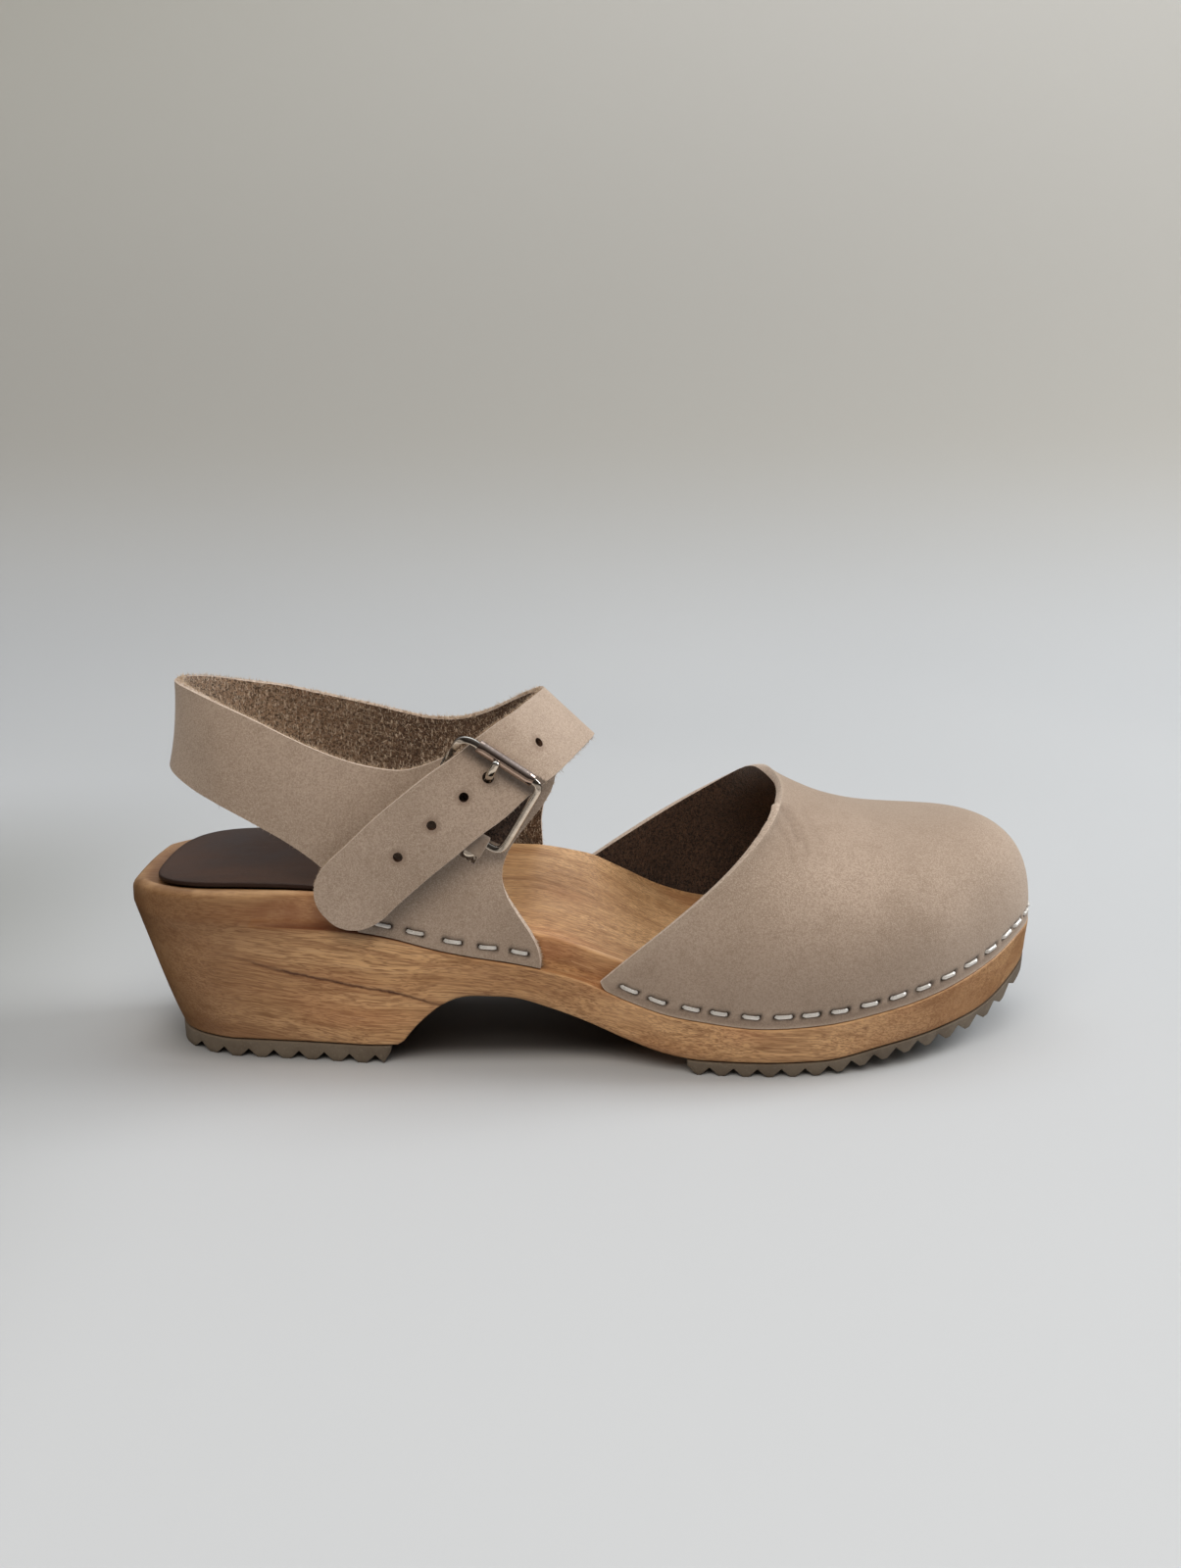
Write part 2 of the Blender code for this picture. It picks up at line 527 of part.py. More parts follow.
def main():
    for ob in list(bpy.data.objects):
        bpy.data.objects.remove(ob, do_unlink=True)
    cut = bpy.data.collections.new("cutters")
    bpy.context.scene.collection.children.link(cut)

    wood = material("alder_wood", (0.53, 0.32, 0.16), 0.5)
    rubber = material("tread_rubber", (0.16, 0.14, 0.12), 0.8)
    hide = material("nubuck", (0.38, 0.29, 0.23), 0.85)
    pad = material("pad_leather", (0.05, 0.03, 0.025), 0.6)
    nickel = material("nickel", (0.75, 0.74, 0.72), 0.25, 1.0)

    # sole
    v, f = skin(sole_rings())
    make("sole_wood", v, f, wood)

    # treads
    p, n, side = outline(n_heel=22, n_mid=26, n_toe=26)
    low = bottom_loop(p, n)
    nx = len(low)//2
    heel_x0 = low[:, 0].min() + 0.4
    xs, up = teeth(heel_x0, HEEL_FRONT, HEEL_PITCH, HEEL_FLAT, HEEL_NOTCH, HEEL_FIRST, lambda x: 0*x)
    xs, up = blend_stations(xs, up, [heel_x0 + d for d in (0.3, 0.8, 1.6, 2.8, 4.4, 6.4, 8.8, 11.6)] + [HEEL_FRONT - 1.2, HEEL_FRONT - 2.6])
    up[-1], up[-2] = 3.4, 1.4
    tread("tread_heel", rubber, xs, up, lambda x, y: HEEL_TREAD, low, 0.0)

    toe_x1 = low[:, 0].max() - 0.35
    xs, up = teeth(FORE_REAR, toe_x1, FORE_PITCH, FORE_FLAT, FORE_NOTCH, FORE_FIRST, lambda x: look(TIPS, "z", x))
    xs, up = blend_stations(xs, up, [toe_x1 - d for d in (0.35, 0.9, 1.7, 2.8, 4.2, 6.0, 8.0)] + [FORE_REAR + 1.2, FORE_REAR + 2.6])
    up[0], up[1] = 2.6, 1.2
    zl = look(TIPS, "z", xs) + up
    tread("tread_fore", rubber, xs, zl, lambda x, y: float(under_z(x, y)) - GAP, low, 0.0)

    # heel pad
    p, n, side = outline(n_heel=14, n_mid=30, n_toe=10)
    back = np.clip(-n[:, 0], 0, 1)
    q = p - n*(2.2 + RABBET*smooth(*RABBET_RUNOUT, p[:, 0])*0.8 + 5.2*back**2)[:, None]
    half_n = len(q)//2
    keep = p[:, 0] < PAD_FRONT - 1
    near, far = q[:half_n + 1][keep[:half_n + 1]], q[half_n + 1:][keep[half_n + 1:]]
    run = np.concatenate([p[:half_n + 1, 0][keep[:half_n + 1]], np.full(9, 60.0), p[half_n + 1:, 0][keep[half_n + 1:]]])
    ends = [np.interp(PAD_FRONT, q[:half_n, 0], q[:half_n, 1]), np.interp(PAD_FRONT, q[half_n + 1:][::-1, 0], q[half_n + 1:][::-1, 1])]
    front = np.column_stack([np.full(9, PAD_FRONT), np.linspace(ends[0], ends[1], 9)])
    q = np.concatenate([near, front, far])
    sp = np.stack([np.clip(run, 28, 56), np.zeros(len(q))], 1)
    rings = []
    for k in (1.0, 0.86, 0.62, 0.32, 0.0):
        r = sp + (q - sp)*k
        rings.append(with_z(r, bed_z(r[:, 0], r[:, 1]) + 3*GAP))
    v, f = skin(rings)
    ob = make("heel_pad", v, f, pad)
    face_out(ob, at(40, 0, 0))
    thicken(ob, PAD_THICK, 1.0)

    # vamp
    v, f = vamp_surface()
    ob = make("vamp", v, f, hide)
    face_out(ob, at(190, 0, 20))
    thicken(ob, LEATHER, -1.0)

    # strap piece
    v, f = band_surface()
    ob = make("quarter_strap", v, f, hide, merge=0.00002)
    # outer face of the first wing looks to -y
    me = ob.data
    if me.polygons[3].normal.y > 0:
        bm = bmesh.new()
        bm.from_mesh(me)
        bmesh.ops.reverse_faces(bm, faces=bm.faces)
        bm.to_mesh(me)
        bm.free()
    thicken(ob, LEATHER, -1.0)
    for i in range(len(HOLES["x"])):
        x, z, r = (HOLES[c][i] for c in ("x", "z", "r"))
        c = np.stack([(BAND["xt"] + BAND["xb"])/2, (BAND["yt"] + BAND["yb"])/2, (BAND["zt"] + BAND["zb"])/2], 1)[36:]
        j = int(np.argmin((c[:, 0] - x)**2 + (c[:, 2] - z)**2)) + 36
        y = (BAND["yt"][j] + BAND["yb"][j])/2
        bpy.ops.mesh.primitive_cylinder_add(vertices=16, radius=r*MM, depth=6*MM, location=at(x, y + 0.8, z),
                                            rotation=(math.radians(90), 0, 0))
        h = bpy.context.object
        h.name = "hole_%d" % i
        a = c[max(j - 37, 0)]
        b = c[min(j - 35, len(c) - 1)]
        run = Vector(b - a).normalized()
        wide = Vector((BAND["xt"][j] - BAND["xb"][j], BAND["yt"][j] - BAND["yb"][j], BAND["zt"][j] - BAND["zb"][j])).normalized()
        nrm = run.cross(wide).normalized()
        h.rotation_mode = "QUATERNION"
        h.rotation_quaternion = nrm.to_track_quat("Z", "Y")
        for col in list(h.users_collection):
            col.objects.unlink(h)
        cut.objects.link(h)
        h.hide_render = True
        h.display_type = "WIRE"
        bo = ob.modifiers.new("hole_%d" % i, "BOOLEAN")
        bo.operation = "DIFFERENCE"
        bo.solver = "EXACT"
        bo.object = h

    # buckle
    tube("buckle_frame", rounded_loop(FRAME), WIRE/2, nickel, closed=True)
    tube("buckle_prong", fine_path(PRONG, 2), PRONG_R, nickel)

    # roller: a thin sleeve round the outer bar, under the tip of the prong
    a = np.array([FRAME["x"][0], FRAME["y"][0], FRAME["z"][0]])
    b = np.array([FRAME["x"][1], FRAME["y"][1], FRAME["z"][1]])
    run = (b - a)/np.linalg.norm(b - a)
    u = np.cross(run, (0.0, 1.0, 0.0))
    u /= np.linalg.norm(u)
    w = np.cross(run, u)
    rings = []
    for t, r in ((ROLLER[0], ROLLER_OUT), (ROLLER[1], ROLLER_OUT), (ROLLER[1], ROLLER_IN), (ROLLER[0], ROLLER_IN), (ROLLER[0], ROLLER_OUT)):
        rings.append(np.array([a + (b - a)*t + r*(u*math.cos(k) + w*math.sin(k)) for k in np.linspace(0, 2*math.pi, 20, endpoint=False)]))
    v, f = skin(rings)
    make("buckle_roller", v, f, nickel, merge=0.00002)

    # chape: a strip folded round the inner bar
    a = np.array([FRAME["x"][2], FRAME["y"][2], FRAME["z"][2]])
    b = np.array([FRAME["x"][3], FRAME["y"][3], FRAME["z"][3]])
    bar = (b - a)/np.linalg.norm(b - a)
    c0 = a + (b - a)*CHAPE_AT
    down = np.array([-0.51, 0.0, -0.86])
    down = down - bar*np.dot(down, bar)
    down /= np.linalg.norm(down)
    out = np.cross(bar, down)
    if out[1] > 0:
        out = -out
    r = WIRE/2 + GAP
    prof = []
    for t in np.linspace(0, 1, 5):
        prof.append((6.4 - 6.4*t, -r))
    for k in range(1, 8):
        an = math.pi*k/8
        prof.append((-r*math.sin(an), -r*math.cos(an)))
    for t in np.linspace(0, 1, 3):
        prof.append((3.4*t, r))
    v, f = [], []
    for j, (d, o) in enumerate(prof):
        for s in (-0.5, 0.0, 0.5):
            v.append(c0 + bar*s*CHAPE_WIDE + down*d + out*o)
    for j in range(len(prof) - 1):
        for k in range(2):
            i = j*3 + k
            f.append((i, i + 3, i + 4, i + 1))
    ob = make("buckle_chape", v, f, hide, merge=0.00002)
    cw = at(*c0)
    face_out(ob, cw)
    thicken(ob, CHAPE_THICK, 1.0)

    # rivet cap over the chape tail
    d = 3.5
    c = c0 + down*d + out*(-r + GAP + 0.45)
    bpy.ops.mesh.primitive_cylinder_add(vertices=24, radius=RIVET[2]*MM, depth=0.9*MM, location=at(*c))
    h = bpy.context.object
    h.name = "rivet"
    h.rotation_mode = "QUATERNION"
    h.rotation_quaternion = Vector(out.tolist()).to_track_quat("Z", "Y")
    h.data.materials.append(nickel)
    bev = h.modifiers.new("round", "BEVEL")
    bev.width = 0.25*MM
    bev.segments = 2


main()
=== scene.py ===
"""Looks of the right-foot clog: wood grain, nubuck, raw edges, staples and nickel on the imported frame.

Sizes are in millimetres in the same working frame as the solids (x from the back of the heel to
the toe, y towards the inner side of the foot, z up) and turned into metres in the row frame.
"""
import math

import bmesh
import bpy
import numpy as np
from mathutils import Matrix, Vector


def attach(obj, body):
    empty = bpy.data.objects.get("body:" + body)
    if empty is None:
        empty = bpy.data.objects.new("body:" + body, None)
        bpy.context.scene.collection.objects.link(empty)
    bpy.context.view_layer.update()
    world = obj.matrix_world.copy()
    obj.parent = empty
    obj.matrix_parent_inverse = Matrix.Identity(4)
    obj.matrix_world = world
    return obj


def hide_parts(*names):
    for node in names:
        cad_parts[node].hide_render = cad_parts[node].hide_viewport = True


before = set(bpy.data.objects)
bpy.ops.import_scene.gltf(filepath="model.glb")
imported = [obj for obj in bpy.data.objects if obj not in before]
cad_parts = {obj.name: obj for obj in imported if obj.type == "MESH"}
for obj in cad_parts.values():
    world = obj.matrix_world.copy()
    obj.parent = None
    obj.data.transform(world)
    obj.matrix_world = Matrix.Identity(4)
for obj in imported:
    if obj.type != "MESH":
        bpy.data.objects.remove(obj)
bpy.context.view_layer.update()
rng = np.random.default_rng(7)


def rows(names, *data):
    return {n: np.array([r[i] for r in data], float) for i, n in enumerate(names.split())}


# ---------------------------------------------------------------- sizes (mm)
TOE, HEEL_BACK, HEEL_ROUND, TOE_ROUND = 249.5, 1.8, 30.0, 52.0
LEATHER, GAP, RABBET = 2.2, 0.3, 3.0
RABBET_RUNOUT = (36.0, 60.0)
HEEL_LEAN = rows("x lean", (0, 11.4), (8, 11.0), (15, 10.2), (22, 9.0), (28, 7.4), (40, 5.6), (50, 4.2), (60, 2.4), (70, 0.9), (80, 1.0), (96, 1.8), (236, 1.8), (252, 0.8))
HEEL_TREAD, HEEL_FRONT = 5.0, 73.2
HEEL_PITCH, HEEL_FLAT, HEEL_NOTCH, HEEL_FIRST = 6.9, 2.2, 2.3, 20.6
FORE_REAR = 151.0
FORE_PITCH, FORE_FLAT, FORE_NOTCH, FORE_FIRST = 6.15, 1.4, 2.2, 156.7
PAD_THICK, PAD_FRONT = 1.3, 74.0
CENTRE = (125.65, 0.8)
MM = 0.001

SOLE = rows("x half mid ledge bed tilt under",
    (  0.0, 31.0,  0.0, 41.0, 48.2, 0.4,  5.3),
    ( 25.0, 31.0,  0.0, 40.0, 48.2, 0.4,  5.3),
    ( 50.0, 31.5,  0.0, 38.0, 47.4, 1.0,  5.3),
    ( 65.0, 31.3, -0.4, 36.6, 45.4, 2.2,  5.3),
    ( 75.0, 30.9, -0.8, 34.6, 43.4, 3.4,  5.3),
    ( 80.0, 30.8, -1.1, 33.2, 42.4, 4.2, 10.4),
    ( 86.0, 30.8, -1.4, 31.6, 41.2, 5.2, 15.6),
    ( 95.0, 31.0, -1.8, 29.8, 39.4, 6.4, 18.6),
    (105.0, 31.6, -2.1, 28.4, 37.6, 7.8, 18.4),
    (115.0, 33.0, -2.1, 26.6, 35.4, 8.8, 16.0),
    (125.0, 35.4, -2.0, 24.2, 32.6, 8.8, 12.8),
    (135.0, 37.8, -1.8, 20.0, 29.4, 6.8,  8.8),
    (145.0, 40.6, -1.4, 16.8, 26.4, 4.0,  5.6),
    (155.0, 43.0, -0.8, 15.2, 24.0, 2.4,  4.2),
    (170.0, 45.6, -0.2, 13.9, 22.4, 1.4,  4.1),
    (186.0, 46.2,  1.0, 14.6, 22.6, 0.8,  4.3),
    (202.0, 44.6,  2.4, 17.0, 24.4, 0.4,  7.0),
    (218.0, 41.6,  4.0, 20.2, 27.4, 0.2,  9.3),
    (234.0, 37.4,  5.4, 25.0, 31.8, 0.0, 12.8),
    (244.0, 34.4,  6.0, 29.0, 35.4, 0.0, 18.0),
    (250.0, 33.0,  6.2, 30.2, 36.6, 0.0, 21.0),
)
TIPS = rows("x z", (140, 0), (180, 0), (188, 0.5), (196, 1.9), (204, 3.3), (212, 4.6), (220, 5.4),
            (228, 6.8), (234, 8.4), (240, 11.2), (245, 14.2), (250, 17.0))
CROWN = rows("x z", (170, 73.8), (177, 70.8), (184, 68.2), (191, 65.4), (199, 62.6), (207, 60.6), (216, 59.6))
VAMP = rows("x full slide puff", (128, 2.55, 1.0, 0.0), (140, 2.5, 0.80, 0.6), (160, 2.45, 0.45, 1.4),
            (185, 2.45, 0.18, 1.8), (210, 2.6, 0.05, 1.0), (235, 2.75, 0.0, 0.2), (250, 2.85, 0.0, 0.0))
VAMP_REAR, VAMP_POLE = 128.6, 216.0
VAMP_INNER_BACK, VAMP_INNER_FULL = 4.2, 0.4
COLLAR_TOP, COLLAR_BOW = 178.2, 0.0

BAND = rows("xt yt zt xb yb zb puff bow seat",
    (117.6, -22.4,  76.6, 113.0, -34.4, 27.2, 2.8, 12.0, 1),   # front edge of the outer wing
    (111.0, -23.4,  81.6, 105.0, -33.4, 28.6, 2.4,  7.0, 1),
    (102.0, -25.6,  84.6,  96.0, -32.6, 30.2, 1.8,  2.0, 1),
    ( 92.5, -27.6,  83.4,  86.0, -32.0, 32.0, 1.6,  0.0, 1),
    ( 84.0, -28.8,  80.4,  76.0, -31.8, 35.0, 1.5,  0.0, 1),
    ( 77.5, -29.2,  79.2,  68.5, -31.6, 38.4, 1.2,  0.0, 1),
    ( 69.0, -29.0,  80.4,  62.5, -31.4, 47.6, 0.6,  0.0, 0),
    ( 61.6, -28.6,  82.6,  56.6, -31.0, 54.6, 0.5,  0.0, 0),
    ( 54.2, -28.0,  85.6,  49.0, -30.4, 60.4, 0.5,  0.0, 0),
    ( 47.0, -27.2,  89.0,  41.8, -29.6, 64.6, 0.5,  0.0, 0),
    ( 39.6, -25.4,  92.4,  36.0, -27.8, 67.4, 0.5,  0.0, 0),
    ( 31.6, -22.0,  95.4,  29.2, -24.4, 70.2, 0.5,  0.0, 0),
    ( 23.4, -15.4,  97.8,  21.6, -17.2, 72.6, 0.1,  0.0, 0),
    ( 17.2,  -7.6,  99.0,  15.0,  -8.4, 75.2, -0.6,  0.0, 0),
    ( 15.2,   0.4,  99.0,  12.8,   0.0, 76.6, -0.8,  0.0, 0),   # back of the heel
    ( 16.0,   8.4,  98.4,  14.8,   9.0, 75.2, -0.6,  0.0, 0),
    ( 21.4,  17.4,  97.0,  21.0,  18.0, 72.6, 0.1,  0.0, 0),
    ( 29.6,  23.4,  95.0,  29.0,  24.6, 70.0, 0.5,  0.0, 0),
    ( 39.6,  26.8,  93.0,  37.0,  28.0, 67.0, 0.5,  0.0, 0),
    ( 49.4,  28.2,  90.6,  45.0,  29.8, 62.6, 0.5,  0.0, 0),
    ( 58.0,  29.0,  88.4,  53.0,  30.6, 56.6, 0.6,  0.0, 0),
    ( 65.0,  29.6,  86.6,  61.0,  31.0, 48.0, 1.0,  0.0, 0),
    ( 71.0,  30.0,  85.0,  69.0,  31.0, 39.0, 1.6,  0.0, 1),
    ( 75.6,  30.2,  83.8,  80.0,  30.0, 36.5, 2.0,  0.0, 1),
    ( 79.4,  30.2,  83.0,  92.0,  29.4, 36.0, 2.0,  0.0, 1),
    ( 83.0,  29.8,  82.6, 103.0,  29.6, 36.0, 1.8,  0.0, 1),
    ( 86.0,  29.4,  82.6, 112.0,  30.2, 35.8, 1.4,  0.0, 1),
    ( 88.8,  28.6,  82.8, 113.2,  30.6, 42.0, 1.0,  0.0, 0),
    ( 92.0,  27.4,  83.4, 113.0,  30.4, 52.0, 0.6,  0.0, 0),
    ( 96.0,  25.4,  84.8, 114.6,  28.8, 60.0, 0.4,  0.0, 0),   # the instep strap leaves the inner wing
    (100.6,  22.0,  87.0, 117.2,  25.6, 65.8, 0.2,  0.0, 0),
    (105.8,  16.6,  90.2, 120.4,  20.4, 71.4, 0.0,  0.0, 0),
    (110.4,  10.4,  93.2, 124.2,  13.4, 76.6, 0.0,  0.0, 0),
    (113.6,   4.4,  95.2, 127.2,   6.2, 81.2, 0.0,  0.0, 0),
    (114.6,  -1.2,  95.8, 128.2,  -0.6, 82.8, 0.0,  0.0, 0),   # over the instep
    (113.2,  -8.4,  95.6, 126.4,  -8.0, 82.2, 0.0,  0.0, 0),
    (110.4, -18.6,  94.9, 122.8, -18.6, 80.6, 0.0,  0.0, 0),
    (107.2, -27.0,  93.6, 118.6, -27.6, 78.3, 0.0,  0.0, 0),
    (103.4, -31.4,  91.8, 115.0, -31.8, 76.2, 0.0,  0.0, 0),
    ( 98.8, -34.2,  88.8, 111.2, -34.6, 73.8, 0.0,  0.0, 0),   # under the outer bar of the buckle
    ( 92.2, -36.9,  84.0, 104.8, -37.0, 68.4, 0.0,  0.0, 0),
    ( 85.8, -38.2,  79.8,  98.6, -38.6, 64.2, 0.0,  0.0, 0),
    ( 78.8, -38.6,  74.4,  92.0, -39.0, 58.8, 0.0,  0.0, 0),
    ( 71.6, -38.4,  68.4,  84.4, -38.8, 52.6, 0.0,  0.0, 0),
    ( 64.2, -38.0,  61.4,  76.8, -38.2, 45.8, 0.0,  0.0, 0),
    ( 59.0, -37.8,  56.5,  72.7, -37.8, 41.9, 0.0,  0.0, 0),
    ( 56.4, -37.6,  52.5,  68.4, -37.6, 39.6, 0.0,  0.0, 0),
    ( 55.8, -37.5,  48.7,  64.6, -37.5, 39.3, 0.0,  0.0, 0),
    ( 56.5, -37.4,  45.6,  61.6, -37.4, 40.1, 0.0,  0.0, 0),
    ( 57.7, -37.3,  43.5,  59.6, -37.3, 41.4, 0.0,  0.0, 0),   # rounded tip
)
HOLES = rows("x z r", (77.6, 58.8, 1.25), (86.4, 67.0, 1.25), (94.6, 74.0, 1.25), (100.8, 78.7, 1.5), (113.4, 85.6, 1.25))
FRAME = rows("x y z r",
    ( 94.6, -37.0, 89.8, 4.4),
    (114.0, -37.3, 76.6, 2.2),
    (103.4, -33.9, 58.4, 3.0),
    ( 83.4, -33.6, 70.6, 3.0),
    ( 91.0, -32.0, 84.2, 2.0),
)
PRONG = rows("x y z", (94.9, -32.2, 66.4), (97.2, -31.6, 71.2), (99.8, -31.2, 76.0), (100.8, -31.9, 78.1),
             (100.9, -34.4, 78.5), (101.0, -36.9, 79.0), (101.4, -38.6, 79.9), (102.0, -39.6, 81.2), (102.9, -40.0, 82.9))
ROLLER, ROLLER_IN, ROLLER_OUT = (0.20, 0.90), 1.3, 1.6
CHAPE_AT, CHAPE_WIDE, CHAPE_THICK = 0.30, 5.6, 0.8

STAPLE, STAPLE_WIRE, STAPLE_UP = 4.6, 0.48, 3.1      # crown length, wire radius, height over the leather edge
VAMP_STAPLES = (133.9, 141.4, 150.4, 157.9, 166.3, 174.8, 182.0, 189.6, 197.6, 205.3, 212.5, 219.7, 226.6, 233.0, 238.5, 242.6)
WING_STAPLES = (71.6, 80.2, 90.0, 99.2, 107.6)


# ---------------------------------------------------------------- form, read from the tables
def look(t, col, x, key="x", even=True):
    xs, ys = t[key], t[col]
    x = np.clip(np.asarray(x, float), xs[0], xs[-1])
    m = np.gradient(ys, xs)
    if even:
        d = np.diff(ys)/np.diff(xs)
        flat = d[:-1]*d[1:] <= 0
        big = 3*np.minimum(np.abs(d[:-1]), np.abs(d[1:]))
        m[1:-1] = np.where(flat, 0.0, np.clip(m[1:-1], -big, big))
    i = np.clip(np.searchsorted(xs, x) - 1, 0, len(xs) - 2)
    h = xs[i + 1] - xs[i]
    u = (x - xs[i]) / h
    a, b = ys[i], ys[i + 1]
    return ((2*u**3 - 3*u**2 + 1)*a + (u**3 - 2*u**2 + u)*h*m[i]
            + (-2*u**3 + 3*u**2)*b + (u**3 - u**2)*h*m[i + 1])


def smooth(a, b, x):
    u = np.clip((np.asarray(x, float) - a) / (b - a), 0, 1)
    return u*u*(3 - 2*u)


def half(x):
    x = np.asarray(x, float)
    a = np.clip(1 - (x - HEEL_BACK) / HEEL_ROUND, 0, 1)
    b = np.clip(1 - (TOE - x) / TOE_ROUND, 0, 1)
    return look(SOLE, "half", x) * (1 - a**2.3)**(1/2.3) * (1 - b**2.35)**(1/2.35)


def outline(n_heel=14, n_mid=26, n_toe=16):
    a = HEEL_BACK + HEEL_ROUND * (1 - np.cos(np.linspace(0, math.pi/2, n_heel + 1)))
    m = np.linspace(HEEL_BACK + HEEL_ROUND, TOE - TOE_ROUND, n_mid + 1)
    t = TOE - TOE_ROUND * (1 - np.cos(np.linspace(math.pi/2, 0, n_toe + 1)))
    x = np.concatenate([a, m[1:], t[1:]])
    near = np.stack([x, look(SOLE, "mid", x) - half(x)], 1)
    far = np.stack([x, look(SOLE, "mid", x) + half(x)], 1)[1:-1][::-1]
    near[0] = (HEEL_BACK, look(SOLE, "mid", HEEL_BACK))
    near[-1] = (TOE, look(SOLE, "mid", TOE))
    p = np.concatenate([near, far])
    d = np.roll(p, -1, 0) - np.roll(p, 1, 0)
    n = np.stack([d[:, 1], -d[:, 0]], 1)
    n /= np.linalg.norm(n, axis=1)[:, None]
    return p, n


def spine(x):
    xs = np.clip(x, 26.0, 214.0)
    return np.stack([xs, look(SOLE, "mid", xs)], 1)


def across(x, y):
    return np.clip((y - look(SOLE, "mid", x)) / np.maximum(half(np.clip(x, 6, 238)), 1), -1, 1)


def bed_z(x, y):
    e = across(x, y)
    s = 0.5 + 0.75*e - 0.25*e**3
    cup = 2.6*smooth(110, 60, x) + 1.2*smooth(110, 150, x)
    return look(SOLE, "bed", x) + look(SOLE, "tilt", x)*s - cup*(1 - e*e)


def ledge_z(x, y):
    return look(SOLE, "ledge", x) + 1.3*look(SOLE, "tilt", x)*(0.5 + 0.5*across(x, y))


def under_z(x, y):
    e = across(x, y)
    return look(SOLE, "under", x) + 0.35*look(SOLE, "tilt", x)*(0.5 + 0.5*e)*smooth(76, 90, x)*smooth(150, 130, x)


def bottom_loop(p, n, proud=0.0):
    return p - n*(look(HEEL_LEAN, "lean", p[:, 0]) - proud)[:, None]


def with_z(p, z):
    return np.column_stack([p, z])


def skin(rings):
    n = len(rings[0])
    v = np.concatenate(rings)
    f = []
    for k in range(len(rings) - 1):
        for i in range(n):
            j = (i + 1) % n
            f.append((k*n + i, k*n + j, (k + 1)*n + j, (k + 1)*n + i))
    return v, f


def to_row(v):
    return (np.asarray(v, float) - np.array([CENTRE[0], CENTRE[1], 0.0]))*MM


def at(x, y, z):
    return Vector(((x - CENTRE[0])*MM, (y - CENTRE[1])*MM, z*MM))


def mesh(name, verts, faces, mats, merge=None, attrs=None, raw=False, smooth_shade=True):
    """A mesh object in the row frame; attrs are per-point numbers kept through merging."""
    me = bpy.data.meshes.new(name)
    v = np.asarray(verts, float) if raw else to_row(verts)
    me.from_pydata([tuple(c) for c in v.tolist()], [], faces)
    for k, a in (attrs or {}).items():
        at_ = me.attributes.new(k, "FLOAT", "POINT")
        at_.data.foreach_set("value", np.asarray(a, np.float32))
    ob = bpy.data.objects.new(name, me)
    bpy.context.scene.collection.objects.link(ob)
    if merge:
        bm = bmesh.new()
        bm.from_mesh(me)
        bmesh.ops.remove_doubles(bm, verts=bm.verts, dist=merge)
        bmesh.ops.dissolve_degenerate(bm, edges=bm.edges, dist=0.00001)
        bmesh.ops.recalc_face_normals(bm, faces=bm.faces)
        bm.to_mesh(me)
        bm.free()
    for m in (mats if isinstance(mats, (list, tuple)) else [mats]):
        me.materials.append(m)
    if smooth_shade:
        me.polygons.foreach_set("use_smooth", [True]*len(me.polygons))
    return ob


# ---------------------------------------------------------------- material helpers
def lin(c):
    """sRGB 0..255 to linear."""
    c = np.asarray(c, float)/255.0
    return tuple(np.where(c <= 0.04045, c/12.92, ((c + 0.055)/1.055)**2.4).tolist())


